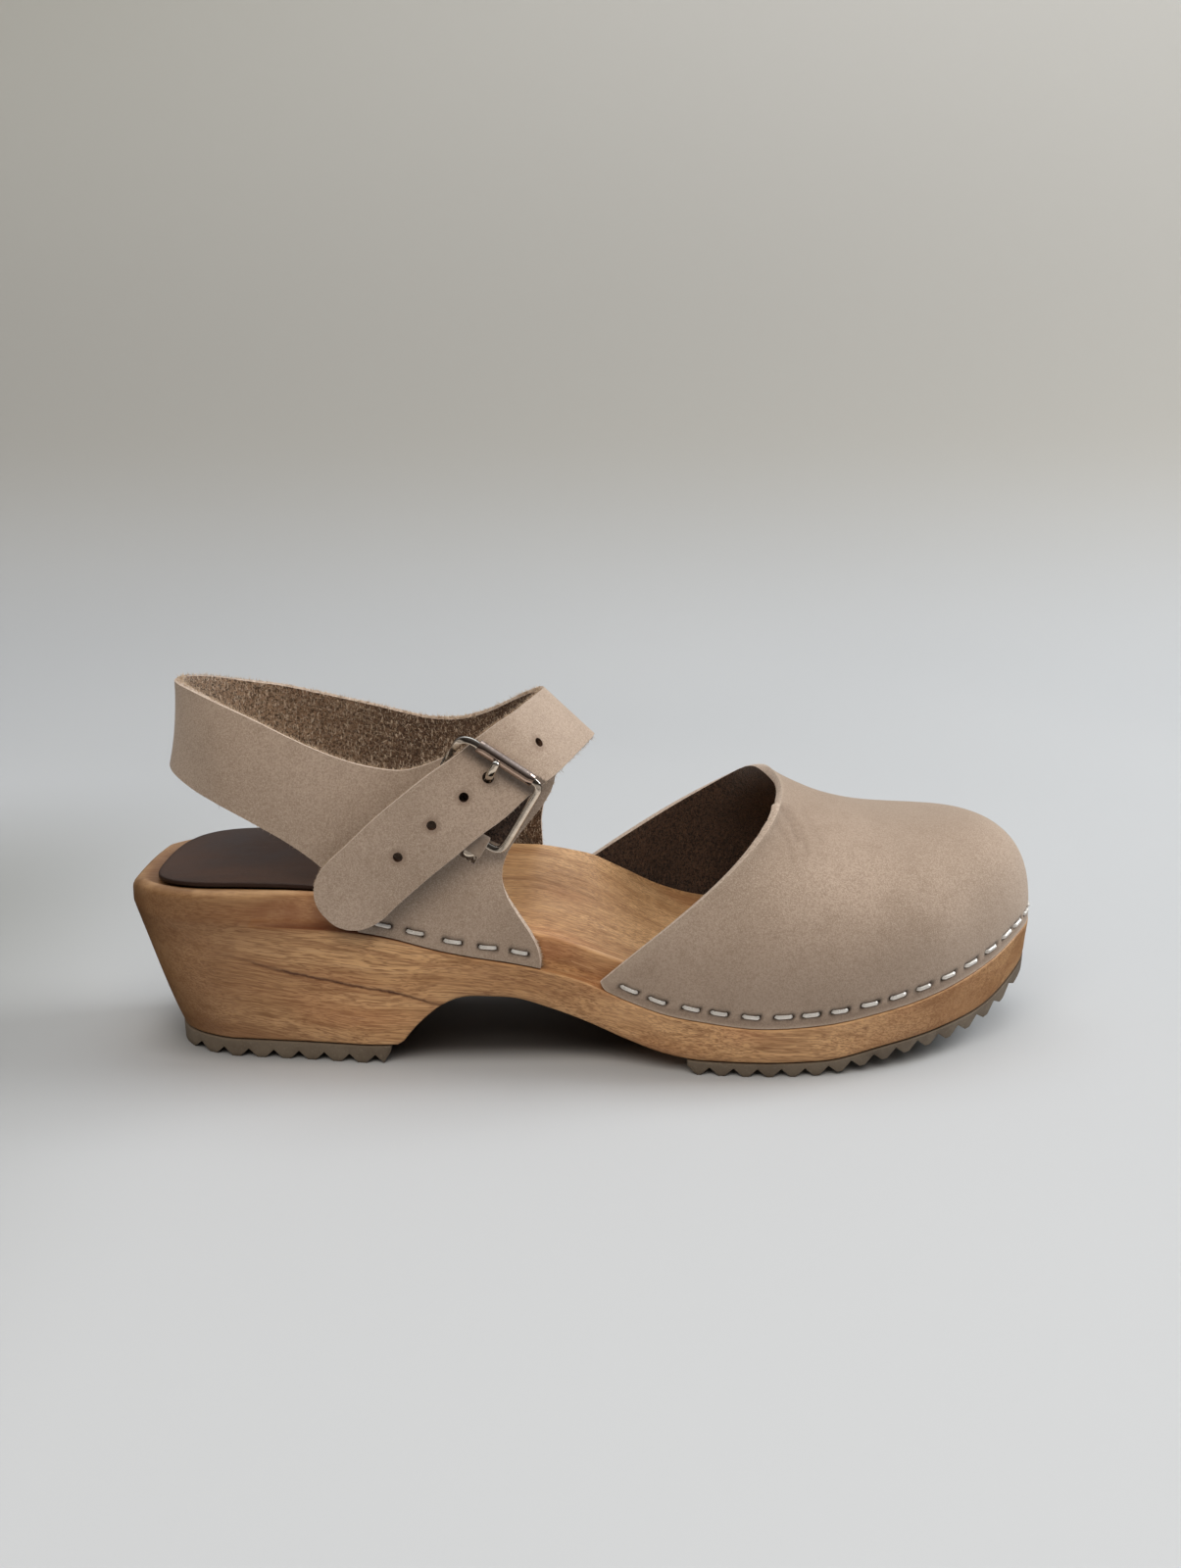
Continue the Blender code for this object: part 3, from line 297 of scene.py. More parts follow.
class Mat:
    """Small builder for node materials in object coordinates (metres)."""

    def __init__(self, name, rough=0.6, metal=0.0, **fixed):
        self.m = bpy.data.materials.new(name)
        self.m.use_nodes = True
        self.t = self.m.node_tree
        self.b = self.t.nodes["Principled BSDF"]
        self.b.inputs["Roughness"].default_value = rough
        self.b.inputs["Metallic"].default_value = metal
        for k, v in fixed.items():
            self.b.inputs[k.replace("_", " ")].default_value = v
        self.co = self.t.nodes.new("ShaderNodeTexCoord").outputs["Object"]

    def put(self, sock, v):
        if isinstance(v, bpy.types.NodeSocket):
            self.t.links.new(v, sock)
        elif isinstance(v, (tuple, list)) and len(v) == 3 and sock.type == "RGBA":
            sock.default_value = (*v, 1)
        else:
            sock.default_value = v

    def scaled(self, s, turn=(0, 0, 0), shift=(0, 0, 0)):
        n = self.t.nodes.new("ShaderNodeMapping")
        n.inputs["Scale"].default_value = s if isinstance(s, (tuple, list)) else (s, s, s)
        n.inputs["Rotation"].default_value = turn
        n.inputs["Location"].default_value = shift
        self.put(n.inputs["Vector"], self.co)
        return n.outputs[0]

    def noise(self, scale, detail=3, rough=0.55, vec=None, distort=0.0):
        n = self.t.nodes.new("ShaderNodeTexNoise")
        n.inputs["Scale"].default_value = scale
        n.inputs["Detail"].default_value = detail
        n.inputs["Roughness"].default_value = rough
        n.inputs["Distortion"].default_value = distort
        self.put(n.inputs["Vector"], vec if vec is not None else self.co)
        return n.outputs["Fac"]

    def voronoi(self, scale, vec=None, feature="F1"):
        n = self.t.nodes.new("ShaderNodeTexVoronoi")
        n.feature = feature
        n.inputs["Scale"].default_value = scale
        self.put(n.inputs["Vector"], vec if vec is not None else self.co)
        return n.outputs["Distance"]

    def math(self, op, a, b=0.0, c=0.0, clamp=False):
        n = self.t.nodes.new("ShaderNodeMath")
        n.operation = op
        n.use_clamp = clamp
        for i, v in enumerate((a, b, c)):
            self.put(n.inputs[i], v)
        return n.outputs[0]

    def span(self, v, a, b, c=0.0, d=1.0, soft=True):
        n = self.t.nodes.new("ShaderNodeMapRange")
        n.interpolation_type = "SMOOTHSTEP" if soft else "LINEAR"
        for i, q in enumerate((v, a, b, c, d)):
            self.put(n.inputs[i], q)
        return n.outputs[0]

    def mix(self, f, a, b, kind="MIX"):
        n = self.t.nodes.new("ShaderNodeMix")
        n.data_type = "RGBA"
        n.blend_type = kind
        self.put(n.inputs["Factor"], f)
        self.put(n.inputs[6], a)
        self.put(n.inputs[7], b)
        return n.outputs[2]

    def attr(self, name):
        n = self.t.nodes.new("ShaderNodeAttribute")
        n.attribute_name = name
        return n.outputs["Fac"]

    def parts(self):
        n = self.t.nodes.new("ShaderNodeSeparateXYZ")
        self.put(n.inputs[0], self.co)
        return n.outputs

    def curve(self, x, points, lo, hi, out_lo, out_hi):
        """Piecewise curve y(x) through points, all in mm of the working frame."""
        u = self.span(x, (lo - CENTRE[0])*MM, (hi - CENTRE[0])*MM, soft=False)
        n = self.t.nodes.new("ShaderNodeFloatCurve")
        c = n.mapping.curves[0]
        pts = [((px - lo)/(hi - lo), (py - out_lo)/(out_hi - out_lo)) for px, py in points]
        c.points[0].location = pts[0]
        c.points[1].location = pts[-1]
        for q in pts[1:-1]:
            c.points.new(*q)
        n.mapping.update()
        self.put(n.inputs["Value"], u)
        return self.math("MULTIPLY_ADD", n.outputs[0], (out_hi - out_lo)*MM, out_lo*MM)

    def bump(self, h, dist, strength=1.0, normal=None):
        n = self.t.nodes.new("ShaderNodeBump")
        n.inputs["Strength"].default_value = strength
        n.inputs["Distance"].default_value = dist
        self.put(n.inputs["Height"], h)
        if normal is not None:
            self.put(n.inputs["Normal"], normal)
        return n.outputs[0]

    def colour(self, v):
        self.put(self.b.inputs["Base Color"], v)

    def rough(self, v):
        self.put(self.b.inputs["Roughness"], v)

    def normal(self, v):
        self.put(self.b.inputs["Normal"], v)


# ---------------------------------------------------------------- materials
def wood_material():
    m = Mat("alder", 0.5, Coat_Weight=0.10, Coat_Roughness=0.35, Specular_IOR_Level=0.4)
    x, y, z = m.parts()
    bend = m.noise(1.0, 2, 0.5, m.scaled((14, 34, 34)))
    warp = m.math("MULTIPLY_ADD", bend, 0.010, -0.005)
    n = m.t.nodes.new("ShaderNodeCombineXYZ")
    m.put(n.inputs[0], x)
    m.put(n.inputs[1], m.math("ADD", y, warp))
    # the grain runs along the sole and sinks a little towards the toe
    m.put(n.inputs[2], m.math("ADD", m.math("ADD", z, warp), m.math("MULTIPLY", x, 0.10)))
    base = n.outputs[0]

    def run(scale):
        q = m.t.nodes.new("ShaderNodeMapping")
        q.inputs["Scale"].default_value = scale
        m.put(q.inputs["Vector"], base)
        return q.outputs[0]
    broad = m.noise(1.0, 1, 0.5, run((9, 95, 95)))
    mid = m.noise(1.0, 2, 0.6, run((26, 420, 420)))
    fine = m.noise(1.0, 1, 0.65, run((120, 2300, 2300)))
    pore = m.noise(1.0, 0, 0.5, run((330, 4200, 4200)))
    light, honey, dark, red = lin((218, 174, 125)), lin((190, 145, 99)), lin((138, 96, 60)), lin((146, 86, 56))
    c = m.mix(m.span(broad, 0.36, 0.66), light, honey)
    c = m.mix(m.span(mid, 0.50, 0.76, 0, 0.55), c, dark)
    thread = m.noise(1.0, 2, 0.65, run((34, 1050, 1050)))
    c = m.mix(m.span(thread, 0.48, 0.68, 0, 0.40), c, lin((132, 89, 55)))
    c = m.mix(m.span(thread, 0.44, 0.28, 0, 0.45), c, lin((222, 182, 138)))
    c = m.mix(m.span(fine, 0.44, 0.64, 0, 0.60), c, dark)
    c = m.mix(m.span(pore, 0.60, 0.74, 0, 0.55), c, lin((118, 78, 48)))
    patch = m.noise(1.0, 1, 0.5, m.scaled((22, 40, 60)))
    c = m.mix(m.span(patch, 0.52, 0.74, 0, 0.38), c, lin((176, 112, 72)))
    pale = m.noise(1.0, 1, 0.5, m.scaled((30, 50, 90), shift=(3, 1, 2)))
    c = m.mix(m.span(pale, 0.56, 0.76, 0, 0.35), c, lin((216, 172, 126)))
    # cut face of the rabbet: redder, with painted shade along the foot of its run-out
    rab = m.attr("rabbet")
    rabbet_tint_and_foot_shade = m.math("MULTIPLY", rab, m.span(m.noise(160, 4, 0.6), 0.25, 0.75, 0.25, 1.0))
    c = m.mix(m.math("MULTIPLY", rabbet_tint_and_foot_shade, m.span(x, -0.050, -0.020, 0.78, 0.18)), c, red)
    c = m.mix(m.attr("rabbet_tint_and_foot_shade"), c, lin((104, 54, 34)))
    # one long dark check in the outer side, fading out at both ends
    path = m.curve(x, ((20, 32.2), (28.5, 31.0), (40.4, 27.4), (49.8, 24.9), (66.2, 21.7), (79, 18.9), (86, 16.4), (94, 13.6)), 20, 94, 10, 36)
    path = m.math("ADD", path, m.math("MULTIPLY_ADD", m.noise(330, 2), 0.0012, -0.0006))
    off = m.math("ABSOLUTE", m.math("SUBTRACT", z, path))
    side = m.math("LESS_THAN", y, -0.012)
    ends = m.math("MULTIPLY", m.span(x, -0.104, -0.082), m.span(x, -0.030, -0.040))
    wide = m.math("MULTIPLY", m.math("MULTIPLY", m.span(off, 0.00075, 0.0), m.math("MULTIPLY", side, ends)),
                  m.span(m.noise(1.0, 3, 0.6, m.scaled((120, 120, 120))), 0.30, 0.62, 0.45, 1.0))
    halo = m.math("MULTIPLY", m.span(off, 0.0036, 0.0, 0, 0.34), m.math("MULTIPLY", side, ends))
    c = m.mix(halo, c, lin((140, 88, 54)))
    c = m.mix(wide, c, lin((74, 40, 24)))
    # a second, fainter streak under the rabbet and the pin knot in the forefoot
    path2 = m.curve(x, ((28, 38.6), (45, 34.6), (60, 33.2), (80, 28.8), (100, 25.4), (118, 20.6)), 28, 118, 18, 40)
    off2 = m.math("ABSOLUTE", m.math("SUBTRACT", z, m.math("ADD", path2, m.math("MULTIPLY_ADD", m.noise(210, 2), 0.002, -0.001))))
    c = m.mix(m.math("MULTIPLY", m.math("MULTIPLY", m.span(off2, 0.0011, 0.0, 0, 0.22), m.span(x, -0.080, -0.060)), side), c, lin((132, 80, 50)))
    knot = m.t.nodes.new("ShaderNodeVectorMath")
    knot.operation = "DISTANCE"
    m.put(knot.inputs[0], m.scaled((1.0, 1.0, 1.9)))
    knot.inputs[1].default_value = ((196.5 - CENTRE[0])*MM, (-42.3 - CENTRE[1])*MM, 13.2*MM*1.9)
    c = m.mix(m.span(knot.outputs["Value"], 0.0016, 0.0004, 0, 0.8), c, lin((96, 54, 34)))
    # darker towards the heel back, high on the heel and towards the toe: partly the wood's own tone, partly painted
    # shade
    c = m.mix(m.math("MULTIPLY", m.span(x, -0.050, -0.108, 0, 0.72), m.span(m.noise(40, 3), 0.25, 0.75, 0.6, 1.0)), c, lin((112, 76, 46)))
    c = m.mix(m.math("MULTIPLY", m.span(x, 0.052, 0.100, 0, 0.58), m.span(m.noise(34, 3), 0.25, 0.75, 0.6, 1.0)), c, lin((134, 90, 54)))
    c = m.mix(m.math("MULTIPLY", m.span(x, -0.060, -0.105, 0, 0.40), m.span(z, 0.026, 0.040)), c, lin((96, 62, 36)))
    # painted highlight along the rounded edges; the underside and the low wall are darker towards the bottom
    c = m.mix(m.math("MULTIPLY", m.attr("edge"), m.span(m.noise(90, 3), 0.35, 0.7, 0.15, 0.6)), c, lin((224, 184, 138)))
    c = m.mix(m.math("MULTIPLY", m.attr("low"), m.span(m.noise(60, 3), 0.3, 0.8, 0.1, 0.55)), c, lin((116, 80, 54)))
    m.colour(c)
    m.rough(m.span(mid, 0.3, 0.8, 0.42, 0.60))
    h = m.math("ADD", m.math("MULTIPLY", fine, 0.6), m.math("MULTIPLY", pore, -0.6))
    h = m.math("SUBTRACT", h, m.math("MULTIPLY", wide, 2.2))
    m.normal(m.bump(h, 0.00012, 0.55))
    return m.m


def rubber_material():
    m = Mat("tread_rubber_look", 0.78, Specular_IOR_Level=0.35)
    fine = m.noise(1500, 3, 0.6)
    blot = m.noise(70, 4, 0.6)
    c = m.mix(m.span(blot, 0.35, 0.7), lin((120, 109, 95)), lin((101, 90, 78)))
    c = m.mix(m.span(fine, 0.56, 0.72, 0, 0.35), c, lin((150, 140, 126)))
    z = m.parts()[2]
    c = m.mix(m.span(z, 0.0016, 0.0, 0, 0.5), c, lin((78, 70, 62)))
    m.colour(c)
    m.rough(m.span(blot, 0.3, 0.8, 0.70, 0.88))
    m.normal(m.bump(m.math("ADD", fine, m.math("MULTIPLY", m.voronoi(1200), 0.6)), 0.00012, 0.5))
    return m.m


def pad_material():
    m = Mat("pad_leather_look", 0.6, Specular_IOR_Level=0.28)
    cell = m.voronoi(2100)
    blot = m.noise(48, 4, 0.6)
    scratch = m.noise(1.0, 2, 0.5, m.scaled((60, 900, 60), (0, 0, 0.5)))
    c = m.mix(m.span(blot, 0.3, 0.72), lin((57, 40, 31)), lin((71, 51, 40)))
    c = m.mix(m.span(scratch, 0.66, 0.78, 0, 0.25), c, lin((120, 98, 86)))
    c = m.mix(m.math("MULTIPLY", m.attr("edge"), 0.75), c, lin((40, 27, 22)))
    m.colour(c)
    m.rough(m.span(blot, 0.3, 0.8, 0.46, 0.66))
    m.normal(m.bump(m.math("ADD", cell, m.math("MULTIPLY", m.noise(700, 3), 0.7)), 0.00009, 0.4))
    return m.m


def grain_material():
    """Sanded grain side: matt, mottled, with a soft nap."""
    m = Mat("nubuck_grain", 0.9, Sheen_Weight=0.22, Sheen_Roughness=0.5, Specular_IOR_Level=0.22)
    m.b.inputs["Sheen Tint"].default_value = (1.0, 0.93, 0.86, 1)
    big = m.noise(26, 2, 0.5)
    mid = m.noise(170, 3, 0.65)
    nap = m.noise(1700, 1, 0.75)
    speck = m.noise(3600, 0, 0.6)
    c = m.mix(m.span(big, 0.32, 0.70), lin((166, 148, 132)), lin((184, 165, 149)))
    c = m.mix(m.span(mid, 0.46, 0.76, 0, 0.40), c, lin((150, 131, 114)))
    c = m.mix(m.span(nap, 0.42, 0.62, 0, 0.42), c, lin((138, 119, 103)))
    c = m.mix(m.span(speck, 0.52, 0.66, 0, 0.40), c, lin((204, 187, 170)))
    # punched holes: darker lip; four of them show the fold of the prong and of wear
    near = None
    for i in range(len(HOLES["x"])):
        d = m.t.nodes.new("ShaderNodeVectorMath")
        d.operation = "DISTANCE"
        m.put(d.inputs[0], m.co)
        d.inputs[1].default_value = tuple(hole_centre(i))
        near = d.outputs["Value"] if near is None else m.math("MINIMUM", near, d.outputs["Value"])
    lip = m.span(near, 0.0030, 0.0014)
    c = m.mix(m.math("MULTIPLY", lip, 0.45), c, lin((122, 100, 84)))
    low = m.parts()[2]
    # painted shade: the top of the vamp darker towards the toe, and the grain darker towards the bottom
    c = m.mix(m.math("MULTIPLY", m.span(m.parts()[0], 0.032, 0.052, 0, 0.42), m.span(low, 0.050, 0.064)), c, lin((138, 120, 104)))
    c = m.mix(m.math("MULTIPLY", m.span(low, 0.050, 0.020, 0, 0.52), m.span(m.noise(60, 3), 0.2, 0.8, 0.7, 1.0)), c, lin((128, 112, 98)))
    # painted shade round the staples, on the chape and in the creases, and a painted shadow below the roller
    c = m.mix(m.attr("dent_and_shade"), c, lin((44, 35, 29)))
    c = m.mix(m.math("MULTIPLY", m.attr("crease_shade"), 0.55), c, lin((104, 85, 72)))
    c = m.mix(m.math("MULTIPLY", m.attr("worn"), m.span(m.noise(240, 3), 0.3, 0.7, 0.3, 0.8)), c, lin((204, 186, 168)))
    tick = m.t.nodes.new("ShaderNodeVectorMath")
    tick.operation = "DISTANCE"
    m.put(tick.inputs[0], m.scaled((1.0, 1.0, 2.2), (0, math.radians(-34), 0)))
    p = at(108.4, -34.2, 83.9)
    q = Matrix.Rotation(math.radians(-34), 3, "Y") @ Vector((p.x, p.y, p.z*2.2))
    tick.inputs[1].default_value = tuple(q)
    c = m.mix(m.span(tick.outputs["Value"], 0.0012, 0.0005, 0, 0.75), c, lin((84, 74, 66)))
    m.colour(c)
    h = m.math("ADD", nap, m.math("MULTIPLY", speck, 0.6))
    h = m.math("SUBTRACT", h, m.math("MULTIPLY", lip, 1.5))
    m.normal(m.bump(mid, 0.0003, 0.25, m.bump(h, 0.00011, 0.55)))
    return m.m


def flesh_material(name, a, b, hair, shade=False):
    """Flesh side: rough brown nap with paler fibres."""
    m = Mat(name, 0.95, Sheen_Weight=0.18, Sheen_Roughness=0.6, Specular_IOR_Level=0.15)
    big = m.noise(60, 2, 0.6)
    nap = m.noise(1350, 1, 0.8, distort=1.0)
    strand = m.noise(1.0, 1, 0.7, m.scaled((2000, 2000, 700), (0.5, 0.2, 0.7)), 1.2)
    c = m.mix(m.span(big, 0.3, 0.7), a, b)
    c = m.mix(m.span(nap, 0.46, 0.58, 0, 0.88), c, tuple(q*0.26 for q in a))
    if shade:
        # painted shade on the strap's inner side towards the buckle
        c = m.mix(m.span(m.parts()[0], -0.086, -0.044, 0, 0.62), c, lin((62, 45, 36)))
    c = m.mix(m.span(strand, 0.56, 0.66, 0, 0.70), c, hair)
    m.colour(c)
    m.normal(m.bump(m.math("ADD", nap, strand), 0.0004, 0.9))
    return m.m


def edge_material():
    """Raw cut edge: pale, fibrous, layered."""
    m = Mat("raw_edge", 0.95, Sheen_Weight=0.2, Specular_IOR_Level=0.15)
    f = m.noise(1600, 4, 0.7)
    c = m.mix(m.span(f, 0.35, 0.7), lin((212, 195, 179)), lin((174, 154, 138)))
    m.colour(c)
    m.normal(m.bump(f, 0.0003, 0.8))
    return m.m


def fibre_material(name, a, b):
    m = Mat(name, 0.9, Specular_IOR_Level=0.2)
    c = m.mix(m.span(m.noise(700, 2), 0.35, 0.65), a, b)
    m.colour(c)
    m.normal(m.bump(m.noise(4000, 2), 0.00003, 0.4))
    return m.m


def nickel_material(name="nickel_look", rough=0.16, a=(0.74, 0.71, 0.65), b=(0.58, 0.55, 0.49), metal=1.0):
    m = Mat(name, rough, metal)
    fine = m.noise(1.0, 3, 0.6, m.scaled((900, 900, 2600)))
    blot = m.noise(320, 3, 0.6)
    c = m.mix(m.span(blot, 0.4, 0.75), a, b)
    m.colour(c)
    m.rough(m.span(fine, 0.3, 0.8, rough*0.7, rough*1.6))
    m.normal(m.bump(fine, 0.00002, 0.25))
    return m.m


def hole_centre(i):
    x, z = HOLES["x"][i], HOLES["z"][i]
    c = np.stack([(BAND[a + "t"] + BAND[a + "b"])/2 for a in "xyz"], 1)[36:]
    j = int(np.argmin((c[:, 0] - x)**2 + (c[:, 2] - z)**2)) + 36
    return at(x, (BAND["yt"][j] + BAND["yb"][j])/2, z)


wood = wood_material()
rubber = rubber_material()
pad_m = pad_material()
grain = grain_material()
flesh_band = flesh_material("flesh_side", lin((150, 122, 99)), lin((174, 146, 120)), lin((238, 220, 198)), shade=True)
flesh_vamp = flesh_material("flesh_side_dark", lin((66, 49, 39)), lin((80, 60, 48)), lin((104, 82, 66)))
edge_m = edge_material()
# dark sheet behind the buckle: painted shade inside the ring
ring_shade_m = flesh_material("ring_shade_dark", lin((74, 56, 46)), lin((88, 68, 56)), lin((112, 90, 76)))
ring_shade_edge_m = flesh_material("ring_shade_edge", lin((112, 92, 78)), lin((130, 110, 94)), lin((160, 138, 120)))
fibre = fibre_material("fibre_pale", lin((226, 206, 182)), lin((176, 150, 124)))
nickel = nickel_material("nickel_look", 0.15)
# brown-tinted nickel for the roller: painted reflection of the leather round it
roller_m = nickel_material("roller_leather_reflection_tint", 0.17, (0.46, 0.37, 0.32), (0.36, 0.28, 0.24))
staple_m = nickel_material("staple_wire", 0.36, (0.92, 0.91, 0.88), (0.80, 0.78, 0.74), 0.45)


# ---------------------------------------------------------------- wooden sole
def build_sole():
    p, n = outline(44, 96, 60)
    x, y = p[:, 0], p[:, 1]
    sp = spine(x)
    bot = bottom_loop(p, n)
    zb, zl, zr = under_z(bot[:, 0], bot[:, 1]), ledge_z(x, y), bed_z(x, y)
    c = smooth(*RABBET_RUNOUT, x)
    cut = RABBET*c
    rings, tag = [], []

    def add(ring, rab=0.0, edge=0.0, low=0.0):
        rings.append(ring)
        k = np.ones(len(x))
        tag.append((rab*k, edge*k, low*k))
    for k in (0.0, 0.2, 0.4, 0.6, 0.78, 0.9, 0.96):
        q = sp + (bot - sp)*k
        add(with_z(q, under_z(q[:, 0], q[:, 1])), low=0.8)
    r = 0.8
    for a in (0, 22, 45, 68, 90):
        s, co = math.sin(math.radians(a)), math.cos(math.radians(a))
        add(with_z(bot - n*r*(1 - s), zb + r*(1 - co)), low=0.9, edge=0.15)
    for t in np.linspace(0.04, 0.97, 20):
        wob = 0.10*np.sin(x*0.21 + t*5.0)*math.sin(math.pi*t)
        add(with_z(bot + (p - bot)*(t**0.9) + n*wob[:, None]*0.6, zb + r + (zl - 0.35*c - zb - r)*t), low=max(0.0, 0.9 - t*6))
    add(with_z(p - n*(0.04*c)[:, None], zl - 0.22*c), edge=0.7*c)
    add(with_z(p - n*(0.15*c)[:, None], zl - 0.07*c), 0.3*c, edge=0.8*c)
    add(with_z(p - n*(0.4*c)[:, None], zl), 0.7*c)
    inner = p - n*cut[:, None]
    add(with_z(p - n*(cut*0.6)[:, None], zl), c)
    add(with_z(inner, zl), c)
    rr = 1.2 + 1.3*smooth(62, 30, x)
    for k in (0.33, 0.66):
        add(with_z(inner, zl + (zr - rr - zl)*k), 0.9*c)
    for a in (0, 18, 36, 54, 72, 90):
        s, co = np.sin(np.radians(a)), np.cos(np.radians(a))
        add(with_z(inner - n*(rr*(1 - co))[:, None], zr - rr*(1 - s)), 0.7*c*(1 - a/90), edge=0.85 if 20 < a < 80 else 0.4)
    rim = inner - n*rr[:, None]
    for k in (0.97, 0.92, 0.84, 0.74, 0.62, 0.5, 0.37, 0.24, 0.12, 0.0):
        q = sp + (rim - sp)*k
        z = bed_z(q[:, 0], q[:, 1])
        add(with_z(q, z), edge=0.25 if k > 0.95 else 0.0)
    v, f = skin(rings)
    rab = np.concatenate([np.asarray(t[0])*np.ones(len(x)) for t in tag])
    edge = np.concatenate([t[1] for t in tag])
    low = np.concatenate([t[2] for t in tag])
    # painted shade along the foot of the rabbet where it runs out on the heel
    dz = v[:, 2] - ledge_z(v[:, 0], v[:, 1])
    rabbet_tint_and_foot_shade = smooth(33, 44, v[:, 0])*smooth(112, 60, v[:, 0])*np.exp(-((dz - 0.3)/0.9)**2)*(v[:, 2] > 20)*0.75
    rab = np.clip(rab + smooth(30, 44, v[:, 0])*smooth(74, 60, v[:, 0])*smooth(-0.5, 0.8, dz)*smooth(9.5, 5.0, dz)*0.75, 0, 1)
    ob = mesh("sole_wood_look", v, f, wood, merge=0.00006, attrs={"rabbet": rab, "rabbet_tint_and_foot_shade": rabbet_tint_and_foot_shade, "edge": edge, "low": low})
    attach(ob, "root")
    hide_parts("sole_wood")


# ---------------------------------------------------------------- treads
def teeth(x0, x1, pitch, flat, depth, first, line):
    fine = np.linspace(x0, x1, 400)
    arc = np.concatenate([[0], np.cumsum(np.hypot(np.diff(fine), np.diff(line(fine))))])
    a, b = float(np.interp(first, fine, arc)), arc[-1]
    half_v = (pitch - flat)/2
    while a - pitch - half_v > 0.6:
        a -= pitch
    ss, up = [0.0], [0.0]
    while a + half_v < b - 0.6:
        ss += [a - half_v, a, a + half_v]
        up += [0.0, depth, 0.0]
        a += pitch
    ss.append(b)
    up.append(0.0)
    return np.interp(ss, arc, fine), np.array(up)


def blend_stations(xs, up, extra):
    allx = np.unique(np.concatenate([xs, [e for e in extra if np.min(np.abs(xs - e)) > 0.12]]))
    return allx, np.interp(allx, xs, up)


def build_tread(name, node, xs, zlow, ztop, lp):
    n = len(lp)//2
    near, far = lp[:n + 1], np.concatenate([lp[:1], lp[n:][::-1]])
    near, far = near[np.argsort(near[:, 0])], far[np.argsort(far[:, 0])]
    ya, yb = np.interp(xs, near[:, 0], near[:, 1]), np.interp(xs, far[:, 0], far[:, 1])
    rings = []
    for i, x in enumerate(xs):
        w = yb[i] - ya[i]
        draft = min(0.8, 0.2*w)
        pts = []
        top = [ztop(x, yy) for yy in (ya[i], yb[i])]
        for fr in np.linspace(0, 1, 9):
            pts.append((x, ya[i] + draft + (w - 2*draft)*fr, zlow[i] + 0.018*abs(math.sin(37*fr + x))))
        for t in (0.12, 0.5, 0.88):
            pts.append((x, yb[i] - draft*(1 - t)**1.4, zlow[i] + (top[1] - zlow[i])*t))
        for fr in (1.0, 0.75, 0.5, 0.25, 0.0):
            yy = ya[i] + w*fr
            pts.append((x, yy, ztop(x, yy)))
        for t in (0.88, 0.5, 0.12):
            pts.append((x, ya[i] + draft*(1 - t)**1.4, zlow[i] + (top[0] - zlow[i])*t))
        rings.append(np.array(pts))
    v, f = skin(rings)
    m = len(rings[0])
    last = (len(rings) - 1)*m
    f.append(tuple(range(m))[::-1])
    f.append(tuple(last + i for i in range(m)))
    ob = mesh(name, v, f, rubber, merge=0.00002)
    b = ob.modifiers.new("round", "BEVEL")
    b.width = 0.00016
    b.segments = 2
    b.limit_method = "ANGLE"
    b.angle_limit = math.radians(28)
    b.use_clamp_overlap = True
    b.harden_normals = False
    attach(ob, "root")
    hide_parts(node)
    return ob


def build_treads():
    p, n = outline(60, 60, 70)
    low = bottom_loop(p, n)
    x0 = low[:, 0].min() + 0.4
    xs, up = teeth(x0, HEEL_FRONT, HEEL_PITCH, HEEL_FLAT, HEEL_NOTCH, HEEL_FIRST, lambda x: 0*x)
    xs, up = blend_stations(xs, up, [x0 + d for d in (0.15, 0.35, 0.6, 0.9, 1.3, 1.8, 2.4, 3.1, 3.9, 4.8, 5.8, 6.9, 8.1, 9.4, 10.8, 12.4, 14.2)] + [HEEL_FRONT - 1.2, HEEL_FRONT - 2.6])
    up[-1], up[-2] = 3.4, 1.4
    build_tread("tread_heel_look", "tread_heel", xs, up, lambda x, y: HEEL_TREAD, low)
    x1 = low[:, 0].max() - 0.35
    xs, up = teeth(FORE_REAR, x1, FORE_PITCH, FORE_FLAT, FORE_NOTCH, FORE_FIRST, lambda x: look(TIPS, "z", x))
    xs, up = blend_stations(xs, up, [x1 - d for d in (0.15, 0.35, 0.6, 0.9, 1.3, 1.8, 2.4, 3.1, 3.9, 4.8, 5.8, 6.9, 8.1, 9.4, 10.8)] + [FORE_REAR + 1.2, FORE_REAR + 2.6])
    up[0], up[1] = 2.6, 1.2
    build_tread("tread_fore_look", "tread_fore", xs, look(TIPS, "z", xs) + up, lambda x, y: float(under_z(x, y)) - GAP, low)


